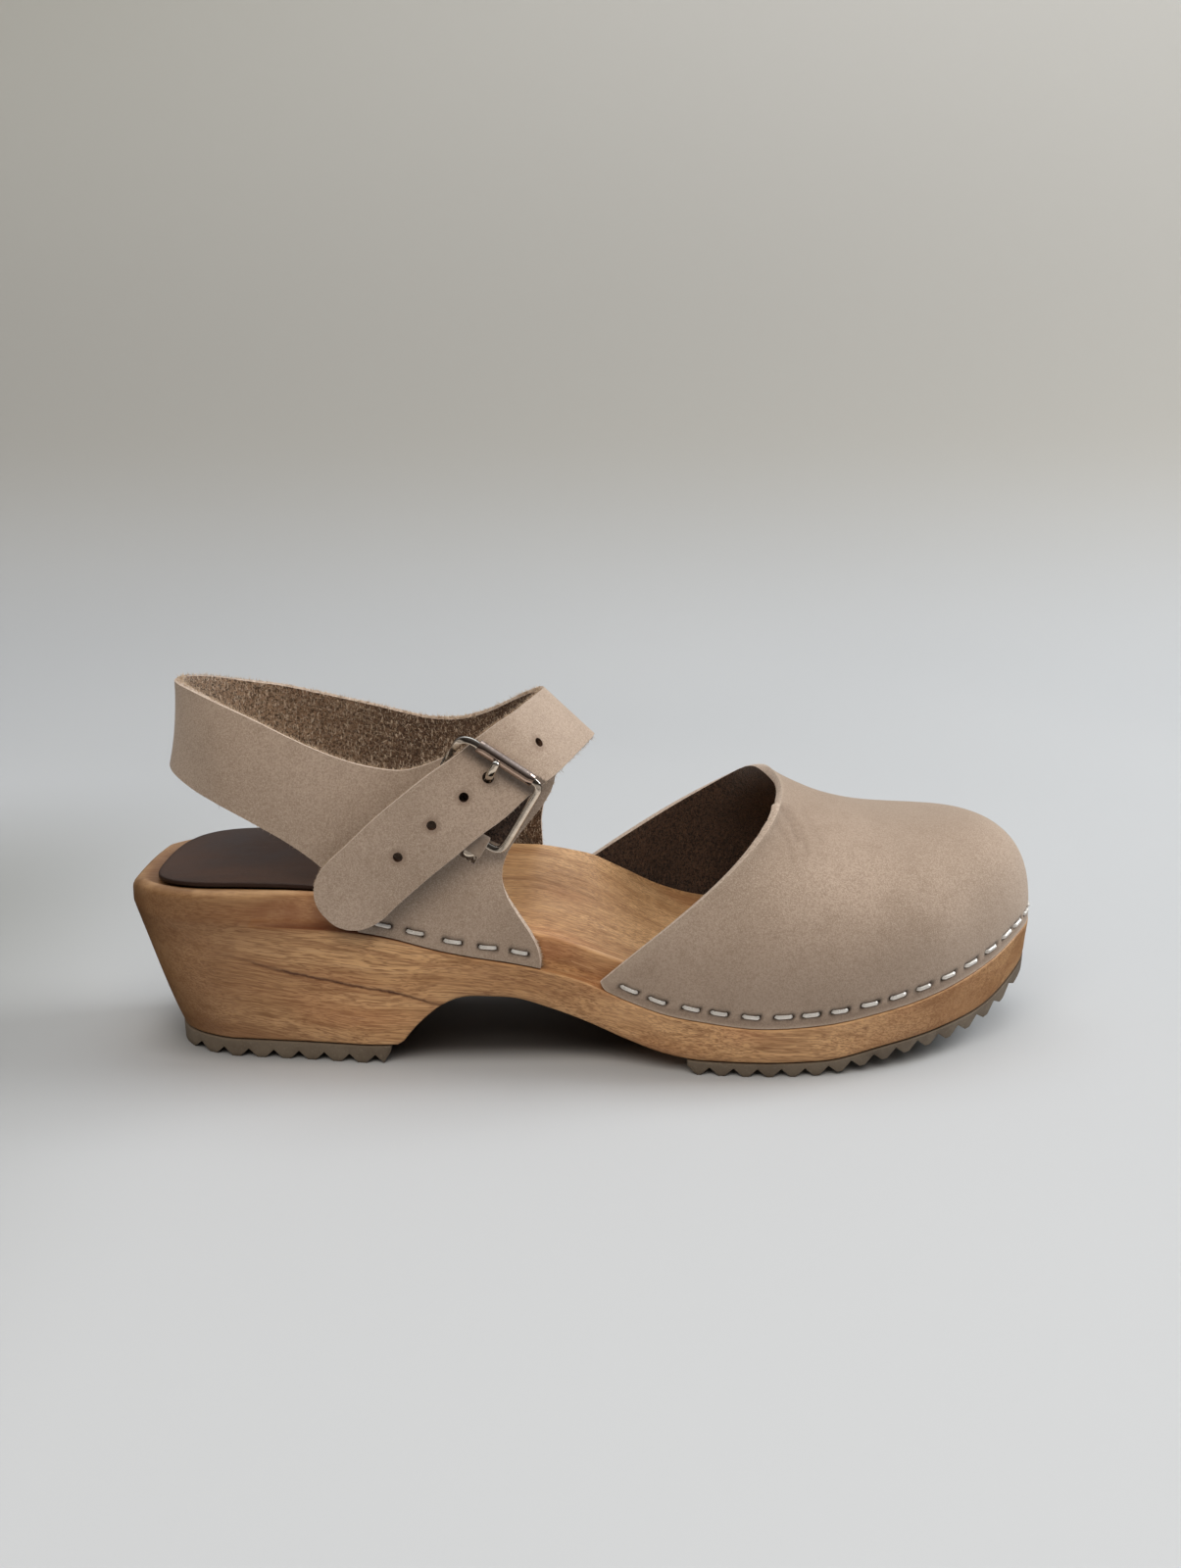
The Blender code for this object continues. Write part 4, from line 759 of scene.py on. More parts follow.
# ---------------------------------------------------------------- heel pad
def build_pad():
    p, n = outline(40, 90, 12)
    back = np.clip(-n[:, 0], 0, 1)
    q = p - n*(2.2 + RABBET*smooth(*RABBET_RUNOUT, p[:, 0])*0.8 + 5.2*back**2)[:, None]
    hn = len(q)//2
    keep = p[:, 0] < PAD_FRONT - 1
    near, far = q[:hn + 1][keep[:hn + 1]], q[hn + 1:][keep[hn + 1:]]
    run = np.concatenate([p[:hn + 1, 0][keep[:hn + 1]], np.full(31, 60.0), p[hn + 1:, 0][keep[hn + 1:]]])
    ends = [np.interp(PAD_FRONT, q[:hn, 0], q[:hn, 1]), np.interp(PAD_FRONT, q[hn + 1:][::-1, 0], q[hn + 1:][::-1, 1])]
    front = np.column_stack([np.full(31, PAD_FRONT), np.linspace(ends[0], ends[1], 31)])
    q = np.concatenate([near, front, far])
    sp = np.stack([np.clip(run, 28, 56), np.zeros(len(q))], 1)
    rings, edge = [], []
    lo = 3*GAP
    for k, lift, e in ((0.0, 0, 0), (0.5, 0, 0), (0.9, 0, 0), (0.99, 0, 1)):
        r = sp + (q - sp)*k
        rings.append(with_z(r, bed_z(r[:, 0], r[:, 1]) + lo))
        edge.append(np.full(len(q), float(e)))
    for k, lift, e in ((1.0, 0.2, 1), (1.0, 0.85, 1), (0.994, 1.15, 0.9), (0.98, 1.28, 0.4), (0.95, 1.3, 0.1), (0.88, 1.3, 0), (0.78, 1.3, 0), (0.64, 1.3, 0), (0.48, 1.3, 0), (0.32, 1.3, 0), (0.16, 1.3, 0), (0.0, 1.3, 0)):
        r = sp + (q - sp)*k
        rings.append(with_z(r, bed_z(r[:, 0], r[:, 1]) + lo + lift))
        edge.append(np.full(len(q), float(e)))
    v, f = skin(rings)
    ob = mesh("heel_pad_look", v, f, pad_m, merge=0.00004, attrs={"edge": np.concatenate(edge)})
    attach(ob, "root")
    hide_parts("heel_pad")


# ---------------------------------------------------------------- leather sheets
def sheet_body(name, grid, out_sign, thick, attrs, node, open_sides, mats=None, seam=False):
    """open_sides says which of the four borders (r0, r1, c0, c1) carry a raw edge; seam joins the
    first and last columns' halves along the top row instead of closing it with a rim."""
    nr, nc, _ = grid.shape
    du = np.gradient(grid, axis=1)
    dv = np.gradient(grid, axis=0)
    nrm = np.cross(du, dv)
    ln = np.linalg.norm(nrm, axis=2, keepdims=True)
    good = ln[..., 0] > 1e-4
    nrm = np.where(good[..., None], nrm/np.maximum(ln, 1e-9), 0)
    for r in range(nr):
        if not good[r].all():
            src = r - 1 if r > 0 else r + 1
            nrm[r][~good[r]] = nrm[src][~good[r]]
    nrm = nrm*out_sign
    if seam:
        both = nrm[-1] + nrm[-1][::-1]
        nrm[-1] = both/np.maximum(np.linalg.norm(both, axis=1, keepdims=True), 1e-9)
    me_v = [grid.reshape(-1, 3), (grid - nrm*thick).reshape(-1, 3)]
    base = nr*nc
    faces, mat = [], []
    idx = np.arange(nr*nc).reshape(nr, nc)
    a, b, c, d = idx[:-1, :-1].ravel(), idx[:-1, 1:].ravel(), idx[1:, 1:].ravel(), idx[1:, :-1].ravel()
    quad = np.stack([a, b, c, d], 1)
    outer = quad if out_sign > 0 else quad[:, ::-1]
    innerq = (quad[:, ::-1] if out_sign > 0 else quad) + base
    faces += outer.tolist()
    mat += [0]*len(outer)
    faces += innerq.tolist()
    mat += [1]*len(innerq)
    # walk round the border
    loop = []
    loop += [(0, k) for k in range(nc)]
    loop += [(k, nc - 1) for k in range(1, nr)]
    loop += [(nr - 1, k) for k in range(nc - 2, -1, -1)]
    loop += [(k, 0) for k in range(nr - 2, 0, -1)]
    away = {}
    for (r_, c_) in loop:
        w = np.zeros(3)
        if "r0" in open_sides and r_ == 0:
            w += grid[0, c_] - grid[1, c_]
        if "r1" in open_sides and r_ == nr - 1:
            w += grid[-1, c_] - grid[-2, c_]
        if "c0" in open_sides and c_ == 0:
            t = grid[r_, 0] - grid[r_, 1]
            w += t/max(np.linalg.norm(t), 1e-9)
        if "c1" in open_sides and c_ == nc - 1:
            t = grid[r_, -1] - grid[r_, -2]
            w += t/max(np.linalg.norm(t), 1e-9)
        away[(r_, c_)] = w/max(np.linalg.norm(w), 1e-9)
    steps = (0.14, 0.5, 0.86)
    bulge = (0.10, 0.16, 0.10)
    rim = []
    extra = []
    for (r_, c_) in loop:
        o = grid[r_, c_]
        for s, g in zip(steps, bulge):
            extra.append(o - nrm[r_, c_]*thick*s + away[(r_, c_)]*g)
    n_loop = len(loop)
    start = 2*base
    ids = [[idx[r_, c_]] + [start + i*3 + k for k in range(3)] + [base + idx[r_, c_]] for i, (r_, c_) in enumerate(loop)]
    for i in range(n_loop):
        j = (i + 1) % n_loop
        if seam and loop[i][0] == nr - 1 and loop[j][0] == nr - 1:
            continue
        for k in range(4):
            q = (ids[i][k], ids[i][k + 1], ids[j][k + 1], ids[j][k])
            faces.append(q if out_sign < 0 else q[::-1])
            mat.append(2)
    v = np.concatenate(me_v + [np.array(extra)])
    at_full = {}
    for k, arr in attrs.items():
        arr = np.asarray(arr, float)
        e = np.array([arr[r_, c_] for (r_, c_) in loop for _ in steps])*0.0
        at_full[k] = np.concatenate([arr.ravel(), arr.ravel()*0.0, e])
    ob = mesh(name, v, faces, mats or [grain, flesh_band, edge_m], attrs=at_full)
    ob.data.polygons.foreach_set("material_index", mat)
    bm = bmesh.new()
    bm.from_mesh(ob.data)
    bmesh.ops.remove_doubles(bm, verts=bm.verts, dist=0.00001)
    bmesh.ops.dissolve_degenerate(bm, edges=bm.edges, dist=0.000004)
    bmesh.ops.recalc_face_normals(bm, faces=bm.faces)
    bm.to_mesh(ob.data)
    bm.free()
    # a firm turn between the grain side and the raw edge
    try:
        ob.data.set_sharp_from_angle(angle=math.radians(50))
    except Exception:
        pass
    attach(ob, "root")
    if node:
        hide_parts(node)
    return ob, nrm


def vamp_grid():
    """Outer points of the vamp: rows rise from the rabbet to the crown, columns run round the toe."""
    run = np.concatenate([np.linspace(VAMP_REAR, TOE - TOE_ROUND, 118),
                          TOE - TOE_ROUND*(1 - np.cos(np.linspace(math.pi/2, 0, 92)[1:]))])
    inner = run[:-1][::-1]
    inner_x = inner - VAMP_INNER_BACK*(1 - smooth(VAMP_REAR, 165.0, inner))
    p = np.concatenate([np.stack([run, look(SOLE, "mid", run) - half(run)], 1),
                        np.stack([inner_x, look(SOLE, "mid", inner_x) + half(inner_x)], 1)])
    d = np.gradient(p, axis=0)
    n = np.stack([d[:, 1], -d[:, 0]], 1)
    n /= np.linalg.norm(n, axis=1)[:, None]
    base = p - n*0.1
    x = np.concatenate([run, inner])
    u = np.clip((x - VAMP_REAR)/(228.0 - VAMP_REAR), 0, 1)
    xc = COLLAR_TOP + (VAMP_POLE - COLLAR_TOP)*u**0.95
    yc = look(SOLE, "mid", xc)*0.55
    zc = look(CROWN, "z", xc)
    zb = ledge_z(base[:, 0], p[:, 1]) + GAP
    # the rear corners of the vamp are cut round
    arc = np.concatenate([[0], np.cumsum(np.linalg.norm(np.diff(p, axis=0), axis=1))])
    tail = np.minimum(arc, arc[-1] - arc)
    zb = zb + 1.6*np.clip(1 - tail/1.6, 0, 1)**2
    sgn = np.where(p[:, 1] > look(SOLE, "mid", base[:, 0]), 1.0, -1.0)
    full, slide, puff = (look(VAMP, c, x) for c in ("full", "slide", "puff"))
    full = full + np.where(sgn > 0, VAMP_INNER_FULL*(1 - smooth(150, 200, x)), 0)
    lifts = np.concatenate([np.linspace(0, 0.13, 16), np.linspace(0.13, 1, 52)[1:]])
    th_rows = np.concatenate([np.arcsin(np.clip(lifts[:16]**1.27, 0, 1)), np.linspace(math.asin(0.13**1.27), math.pi/2, 50)[1:]])
    g = []
    for k, th in enumerate(th_rows):
        last = k == len(th_rows) - 1
        lift = np.sin(th)**(2/full)
        left = np.zeros(len(x)) if last else np.cos(th)**(2/full)
        go = 1 - left
        xs = base[:, 0] + slide*((xc - base[:, 0])*lift)
        ys = np.where(slide > 0.001, look(SOLE, "mid", xs) + sgn*(half(xs) - 0.1), base[:, 1])
        ys = base[:, 1] + (ys - base[:, 1])*smooth(0.0, 0.12, slide)
        px = xs + (xc - xs)*go
        py = ys + (yc - ys)*go
        b_ = puff*np.sin(math.pi*np.clip(lift, 0, 1))**1.2
        g.append(np.stack([px + n[:, 0]*b_, py + n[:, 1]*b_, zb + (zc - zb)*lift], 1))
    return np.array(g), p, n, arc


def staple_marks(bottom, up, centres, length):
    """How strongly each point is dented by staples standing along the lower edge, and how much painted shade lies round
    them.
    bottom: arc length of each column; up: height of each point over the edge."""
    dent_and_shade = np.zeros_like(up)
    dark = np.zeros_like(up)
    for s0 in centres:
        ds = bottom[None, :] - s0
        dz = up - STAPLE_UP
        body = np.exp(-(np.clip(np.abs(ds) - length/2, 0, None)/0.9)**2 - (dz/1.15)**2)
        ends = np.exp(-((np.abs(ds) - length/2 + 0.15)/0.72)**2 - (dz/0.78)**2)
        line = np.exp(-(np.clip(np.abs(ds) - length/2, 0, None)/0.5)**2 - ((dz - 0.12)/0.92)**2)
        dent_and_shade = np.maximum(dent_and_shade, 0.62*body + 0.45*ends)
        # painted shade where the staple ends dive in and under the crown
        dark = np.maximum(dark, np.clip(0.95*ends + 0.78*line, 0, 1))
    return dent_and_shade, dark


def build_vamp():
    g, p, n, arc = vamp_grid()
    up = np.concatenate([np.zeros((1, g.shape[1])), np.cumsum(np.linalg.norm(np.diff(g, axis=0), axis=2), axis=0)])
    near_n = g.shape[1]//2 + 1
    s_near = [float(np.interp(x, g[0, :near_n, 0], arc[:near_n])) for x in VAMP_STAPLES]
    total = arc[-1]
    s_far = [total - s for s in s_near]
    mid_gap = s_far[-1] - s_near[-1]
    k = max(1, int(round(mid_gap/8.0)))
    s_mid = [s_near[-1] + mid_gap*(i + 1)/k for i in range(k - 1)]
    centres = s_near + s_mid + s_far[::-1]
    dent_and_shade, dark = staple_marks(arc, up, centres, STAPLE)
    # creases by the collar top and across the instep side
    crease_shade = np.zeros_like(up)
    push = np.zeros_like(up)

    def fold(pts, wide, deep):
        nonlocal crease_shade, push
        pts = np.array(pts, float)
        seg = np.concatenate([np.linspace(pts[i], pts[i + 1], 12)[:-1] for i in range(len(pts) - 1)] + [pts[-1:]])
        d = np.min(np.linalg.norm(g[:, :, None, [0, 2]] - seg[None, None, :, :], axis=3), axis=2)
        # painted shade along each crease
        k = np.exp(-(d/wide)**2)*(g[..., 1] < 8)
        crease_shade = np.maximum(crease_shade, k*min(1.0, deep*2.2))
        push -= k*deep
        push += np.exp(-((d - 1.9*wide)/wide)**2)*(g[..., 1] < 8)*deep*0.55
    fold(((176.8, 66.5), (179.2, 63.0), (180.4, 59.2)), 0.6, 0.26)
    fold(((178.8, 65.6), (181.6, 61.2), (182.6, 56.6)), 0.55, 0.20)
    fold(((175.0, 63.6), (177.6, 59.6), (178.6, 55.4)), 0.55, 0.16)
    fold(((183.4, 64.2), (186.4, 59.0)), 0.7, 0.10)
    fold(((172.6, 60.6), (175.4, 56.6)), 0.55, 0.10)
    # slow unevenness of lasted leather
    lo = (np.sin(g[..., 0]*0.085 + g[..., 1]*0.05 + 1.0)*np.sin(g[..., 2]*0.11 + g[..., 0]*0.03)
          + 0.5*np.sin(g[..., 0]*0.19 + 2.0)*np.sin(g[..., 1]*0.15 + g[..., 2]*0.08))
    fade = smooth(5.0, 14.0, up)
    push += lo*0.20*fade
    worn = 0.30*np.exp(-((np.minimum(arc, total - arc))/2.2)**2)[None, :]*np.ones_like(up)
    worn = np.maximum(worn, 0.6*np.exp(-(up/0.45)**2))
    # painted shade in a band just above the lower edge
    crease_shade = np.maximum(crease_shade, 0.55*np.exp(-((up - 1.5)/0.8)**2))
    du, dv = np.gradient(g, axis=1), np.gradient(g, axis=0)
    nr = np.cross(du, dv)
    nr /= np.maximum(np.linalg.norm(nr, axis=2, keepdims=True), 1e-9)
    centre = np.array([190.0, 2.0, 25.0])
    sign = 1.0 if np.sum((g - centre)*nr) > 0 else -1.0
    nr *= sign
    g2 = g + nr*(push - dent_and_shade*0.42)[..., None]
    g2[-1] = (g2[-1] + g2[-1][::-1])/2
    sides = ("r0", "c0", "c1")
    ob, nrm = sheet_body("vamp_look", g2, sign, LEATHER, {"dent_and_shade": np.clip(dark, 0, 1), "crease_shade": np.clip(crease_shade, 0, 1), "worn": worn},
                         "vamp", sides, mats=[grain, flesh_vamp, edge_m], seam=True)
    return g, nr, arc, up, centres


def band_grid(per_row=14, n_across=30):
    n = len(BAND["xt"])
    k = np.linspace(0, n - 1, (n - 1)*per_row + 1)
    t_ = dict(BAND)
    t_["k"] = np.arange(n, dtype=float)
    c = {q: look(t_, q, k, key="k", even=q in ("seat", "bow", "puff")) for q in BAND}
    top = np.stack([c["xt"], c["yt"], c["zt"]], 1)
    bot = np.stack([c["xb"], c["yb"], c["zb"]], 1)
    seat = smooth(0.42, 0.62, c["seat"])
    sgn = np.where(bot[:, 1] > 0, 1.0, -1.0)
    seat_y = look(SOLE, "mid", bot[:, 0]) + sgn*(half(bot[:, 0]) - 0.1)
    seat_z = ledge_z(bot[:, 0], seat_y) + 1.5*GAP
    bot[:, 1] += (seat_y - bot[:, 1])*seat
    bot[:, 2] += (seat_z - bot[:, 2])*seat
    mid = (top + bot)/2
    run = np.gradient(mid, axis=0)
    run /= np.linalg.norm(run, axis=1)[:, None]
    nrm = np.cross(top - bot, run)
    nrm /= np.linalg.norm(nrm, axis=1)[:, None]
    ts = np.concatenate([np.linspace(0, 0.14, 12), np.linspace(0.14, 1, n_across - 10)[1:]])
    g = []
    for t in ts:
        hump = 4*t*(1 - t)
        q = bot + (top - bot)*t + nrm*(c["puff"]*hump)[:, None]
        q = q + np.array([-1.0, 0, 0])*(c["bow"]*hump**2.4)[:, None]
        g.append(q)
    return np.array(g), k, seat


def build_band():
    g, k, seat = band_grid()
    nr_, nc_ = g.shape[:2]
    up = np.concatenate([np.zeros((1, nc_)), np.cumsum(np.linalg.norm(np.diff(g, axis=0), axis=2), axis=0)])
    arc = np.concatenate([[0], np.cumsum(np.linalg.norm(np.diff(g[0], axis=0), axis=1))])
    out_cols = np.where(k <= 6)[0]
    in_cols = np.where((k >= 21.5) & (k <= 27))[0]
    s_out = [float(np.interp(-x, -g[0, out_cols, 0], arc[out_cols])) for x in WING_STAPLES]
    s_in = [float(np.interp(x, g[0, in_cols, 0], arc[in_cols])) for x in WING_STAPLES if x > 72]
    centres = s_out + s_in
    dent_and_shade, dark = staple_marks(arc, up, centres, STAPLE)
    push = np.zeros_like(up)
    x, y, z = g[..., 0], g[..., 1], g[..., 2]
    lo = np.sin(x*0.09 + z*0.06)*np.sin(z*0.10 + y*0.05 + 0.6)
    push += lo*0.18*smooth(5, 12, up)*(k[None, :] < 33)
    worn = np.zeros_like(up)
    # under the roller the strap is nipped in a little, with a paler bent stretch above it and a painted shadow below it
    roll = np.array([103.4, 83.6])
    ax = np.array([0.827, -0.562])
    rel = np.stack([x - roll[0], z - roll[1]], -1)
    dist = rel[..., 0]*ax[1]*-1 + rel[..., 1]*ax[0]
    on = (k[None, :] > 37.2) & (k[None, :] < 42.5)
    push -= np.where(on, 0.30*np.exp(-(dist/2.2)**2), 0)
    worn = np.maximum(worn, np.where(on, 0.35*np.exp(-((dist - 2.9)/0.9)**2), 0))
    roller_shadow = np.where(on, 0.72*np.exp(-(np.clip(dist + 2.7, None, 0)/1.7)**2)*(dist < 1.0), 0)
    du, dv = np.gradient(g, axis=1), np.gradient(g, axis=0)
    nr = np.cross(du, dv)
    nr /= np.maximum(np.linalg.norm(nr, axis=2, keepdims=True), 1e-9)
    sign = 1.0 if nr[5, 40, 1] < 0 else -1.0
    nr *= sign
    g2 = g + nr*(push - dent_and_shade*0.42)[..., None]
    ob, nrm = sheet_body("quarter_strap_look", g2, sign, LEATHER, {"dent_and_shade": np.clip(np.maximum(dark, roller_shadow), 0, 1), "crease_shade": 0*up, "worn": worn},
                         "quarter_strap", ("r0", "r1", "c0", "c1"))
    # punched holes
    made = []
    for i in range(len(HOLES["x"])):
        c = hole_centre(i)
        cc = np.stack([(BAND[a + "t"] + BAND[a + "b"])/2 for a in "xyz"], 1)[36:]
        j = int(np.argmin((cc[:, 0] - HOLES["x"][i])**2 + (cc[:, 2] - HOLES["z"][i])**2))
        a, b = cc[max(j - 1, 0)], cc[min(j + 1, len(cc) - 1)]
        rn = Vector(b - a).normalized()
        wd = Vector([BAND[q + "t"][j + 36] - BAND[q + "b"][j + 36] for q in "xyz"]).normalized()
        nn = rn.cross(wd).normalized()
        bm = bmesh.new()
        bmesh.ops.create_cone(bm, cap_ends=True, segments=40, radius1=HOLES["r"][i]*MM, radius2=HOLES["r"][i]*MM, depth=0.007)
        me = bpy.data.meshes.new("cutter_%d" % i)
        bm.to_mesh(me)
        bm.free()
        me.materials.append(hole_m)
        h = bpy.data.objects.new("cutter_%d" % i, me)
        bpy.context.scene.collection.objects.link(h)
        h.matrix_world = Matrix.Translation(c + Vector((0, 0.0008, 0))) @ nn.to_track_quat("Z", "Y").to_matrix().to_4x4()
        made.append(h)
        bo = ob.modifiers.new("hole_%d" % i, "BOOLEAN")
        bo.operation = "DIFFERENCE"
        bo.solver = "EXACT"
        bo.material_mode = "TRANSFER"
        bo.object = h
    bpy.context.view_layer.update()
    dg = bpy.context.evaluated_depsgraph_get()
    new = bpy.data.meshes.new_from_object(ob.evaluated_get(dg), depsgraph=dg)
    ob.modifiers.clear()
    ob.data = new
    for h in made:
        bpy.data.objects.remove(h, do_unlink=True)
    return g, nr, arc, up, centres, k


def hole_wall():
    m = Mat("hole_wall", 0.95)
    f = m.noise(1500, 3, 0.7)
    m.colour(m.mix(m.span(f, 0.35, 0.7), lin((70, 50, 40)), lin((104, 80, 66))))
    m.normal(m.bump(f, 0.0002, 0.7))
    return m.m


hole_m = hole_wall()


# ---------------------------------------------------------------- wires
def frames(path, closed=False):
    """Smooth directions along a path without twist."""
    p = np.asarray(path, float)
    if closed:
        t = np.roll(p, -1, 0) - np.roll(p, 1, 0)
    else:
        t = np.gradient(p, axis=0)
    t /= np.linalg.norm(t, axis=1)[:, None]
    ref = np.array([0.13, -0.98, 0.12])
    u = np.cross(t, ref)
    u /= np.linalg.norm(u, axis=1)[:, None]
    w = np.cross(u, t)
    return t, u, w


def swept(path, ru, rw, sides=20, closed=False, power=2.0, radii=None):
    """Points and faces of a wire with a rounded section; ends are domed when open."""
    t, u, w = frames(path, closed)
    n = len(path)
    an = np.linspace(0, 2*math.pi, sides, endpoint=False)
    cx = np.sign(np.cos(an))*np.abs(np.cos(an))**(2/power)
    sy = np.sign(np.sin(an))*np.abs(np.sin(an))**(2/power)
    r = np.ones(n) if radii is None else np.asarray(radii)
    v = np.concatenate([path[i] + (u[i]*cx[:, None]*ru + w[i]*sy[:, None]*rw)*r[i] for i in range(n)])
    f = []
    last = n if closed else n - 1
    for i in range(last):
        j = (i + 1) % n
        for k in range(sides):
            l = (k + 1) % sides
            f.append((i*sides + k, i*sides + l, j*sides + l, j*sides + k))
    if not closed:
        f.append(tuple(range(sides))[::-1])
        f.append(tuple((n - 1)*sides + k for k in range(sides)))
    return v, f


def domed(path, r, dome=0.9, n=5):
    """Adds short stations so that the ends of an open wire are rounded; returns path and radii."""
    p = np.asarray(path, float)
    a = (p[0] - p[1])/np.linalg.norm(p[0] - p[1])
    b = (p[-1] - p[-2])/np.linalg.norm(p[-1] - p[-2])
    an = np.linspace(0, math.pi/2, n)[1:]
    head = [p[0] + a*r*dome*math.sin(k) for k in an][::-1]
    tail = [p[-1] + b*r*dome*math.sin(k) for k in an]
    rad = [max(math.cos(k), 0.06) for k in an]
    return np.array(head + list(p) + tail), np.array(rad[::-1] + [1.0]*len(p) + rad)


def rounded_loop(t, steps=14):
    c = np.stack([t["x"], t["y"], t["z"]], 1)
    out = []
    for i in range(len(c)):
        a, b, d = c[i - 1], c[i], c[(i + 1) % len(c)]
        u = (a - b)/np.linalg.norm(a - b)
        w = (d - b)/np.linalg.norm(d - b)
        r = t["r"][i]
        for k in range(steps + 1):
            s = k/steps
            out.append((1 - s)**2*(b + u*r) + 2*s*(1 - s)*b + s*s*(b + w*r))
        # stations along the straight bar
        e = d + (b - d)/np.linalg.norm(b - d)*t["r"][(i + 1) % len(c)]
        st = b + w*r
        for k in range(1, 8):
            out.append(st + (e - st)*k/8)
    return np.array(out)


def fine_path(t, per):
    x = np.stack([t["x"], t["y"], t["z"]], 1)
    k = {"k": np.arange(len(x), dtype=float), "x": x[:, 0], "y": x[:, 1], "z": x[:, 2]}
    q = np.linspace(0, len(x) - 1, (len(x) - 1)*per + 1)
    return np.stack([look(k, c, q, key="k", even=False) for c in "xyz"], 1)


def build_buckle():
    path = rounded_loop(FRAME)
    v, f = swept(path, 0.92, 1.02, 28, closed=True, power=4.5)
    ob = mesh("buckle_frame_look", v, f, nickel)
    finish_metal(ob, "buckle_frame")
    # roller with small turned-in lips
    a = np.array([FRAME["x"][0], FRAME["y"][0], FRAME["z"][0]])
    b = np.array([FRAME["x"][1], FRAME["y"][1], FRAME["z"][1]])
    run = (b - a)/np.linalg.norm(b - a)
    u = np.cross(run, (0.0, 1.0, 0.0))
    u /= np.linalg.norm(u)
    w = np.cross(run, u)
    L = np.linalg.norm(b - a)
    ROLL = ROLLER_OUT + 0.08
    prof = [(ROLLER[0]*L + 0.12, ROLLER_IN), (ROLLER[0]*L, ROLLER_IN + 0.08), (ROLLER[0]*L + 0.02, ROLL - 0.10), (ROLLER[0]*L + 0.12, ROLL)]
    prof += [(ROLLER[0]*L + (ROLLER[1] - ROLLER[0])*L*q, ROLL) for q in (0.1, 0.3, 0.5, 0.7, 0.9)]
    prof += [(ROLLER[1]*L - 0.12, ROLL), (ROLLER[1]*L - 0.02, ROLL - 0.10), (ROLLER[1]*L, ROLLER_IN + 0.08), (ROLLER[1]*L - 0.12, ROLLER_IN)]
    an = np.linspace(0, 2*math.pi, 48, endpoint=False)
    rings = [np.array([a + run*s + r*(u*math.cos(k) + w*math.sin(k)) for k in an]) for s, r in prof]
    v, f = skin(rings + [rings[0]])
    ob = mesh("buckle_roller_look", v, f, roller_m, merge=0.00001)
    finish_metal(ob, "buckle_roller")
    pth = fine_path(PRONG, 8)
    pth, rad = domed(pth, 0.9)
    v, f = swept(pth, 1.02, 0.85, 22, radii=rad, power=2.8)
    ob = mesh("buckle_prong_look", v, f, nickel)
    finish_metal(ob, "buckle_prong")
    # chape: folded strip round the inner bar
    a = np.array([FRAME["x"][2], FRAME["y"][2], FRAME["z"][2]])
    b = np.array([FRAME["x"][3], FRAME["y"][3], FRAME["z"][3]])
    bar = (b - a)/np.linalg.norm(b - a)
    c0 = a + (b - a)*CHAPE_AT
    down = np.array([-0.51, 0.0, -0.86])
    down = down - bar*np.dot(down, bar)
    down /= np.linalg.norm(down)
    out = np.cross(bar, down)
    if out[1] > 0:
        out = -out
    r = 1.0 + GAP
    prof = [(6.4 - 6.4*t, -r) for t in np.linspace(0, 1, 10)]
    prof += [(-r*math.sin(math.pi*k/20), -r*math.cos(math.pi*k/20)) for k in range(1, 20)]
    prof += [(3.4*t, r) for t in np.linspace(0, 1, 7)]
    g = np.array([[c0 + bar*s*CHAPE_WIDE + down*d + out*o for (d, o) in prof] for s in np.linspace(-0.5, 0.5, 9)])
    du, dv = np.gradient(g, axis=1), np.gradient(g, axis=0)
    nr = np.cross(du, dv)
    sign = 1.0 if np.sum((g - c0)*nr) > 0 else -1.0
    # constant darkening of the chape's grain: painted shade inside the ring
    z0 = np.zeros(g.shape[:2]) + 0.32
    # the solid is thickened away from the bar, so the outer layer stands one thickness out
    nr = nr/np.linalg.norm(nr, axis=2, keepdims=True)*sign
    sheet_body("buckle_chape_look", g + nr*CHAPE_THICK, sign, CHAPE_THICK, {"dent_and_shade": z0, "crease_shade": z0, "worn": z0}, "buckle_chape", ("r0", "r1", "c0", "c1"))
    # rivet cap: low dome with a rim
    c = c0 + down*3.5 + out*(-r + GAP + 0.45)
    prof = [(0.0, -0.45), (1.7, -0.45), (1.95, -0.36), (2.0, -0.2), (1.98, 0.05), (1.8, 0.25), (1.45, 0.36), (1.0, 0.42), (0.5, 0.45), (0.0, 0.46)]
    u2 = np.cross(out, bar)
    u2 /= np.linalg.norm(u2)
    an = np.linspace(0, 2*math.pi, 40, endpoint=False)
    rings = [np.array([c + out*h + rr*(bar*math.cos(k) + u2*math.sin(k)) for k in an]) for rr, h in prof]
    v, f = skin(rings)
    ob = mesh("rivet_look", v, f, nickel, merge=0.00001)
    finish_metal(ob, "rivet")


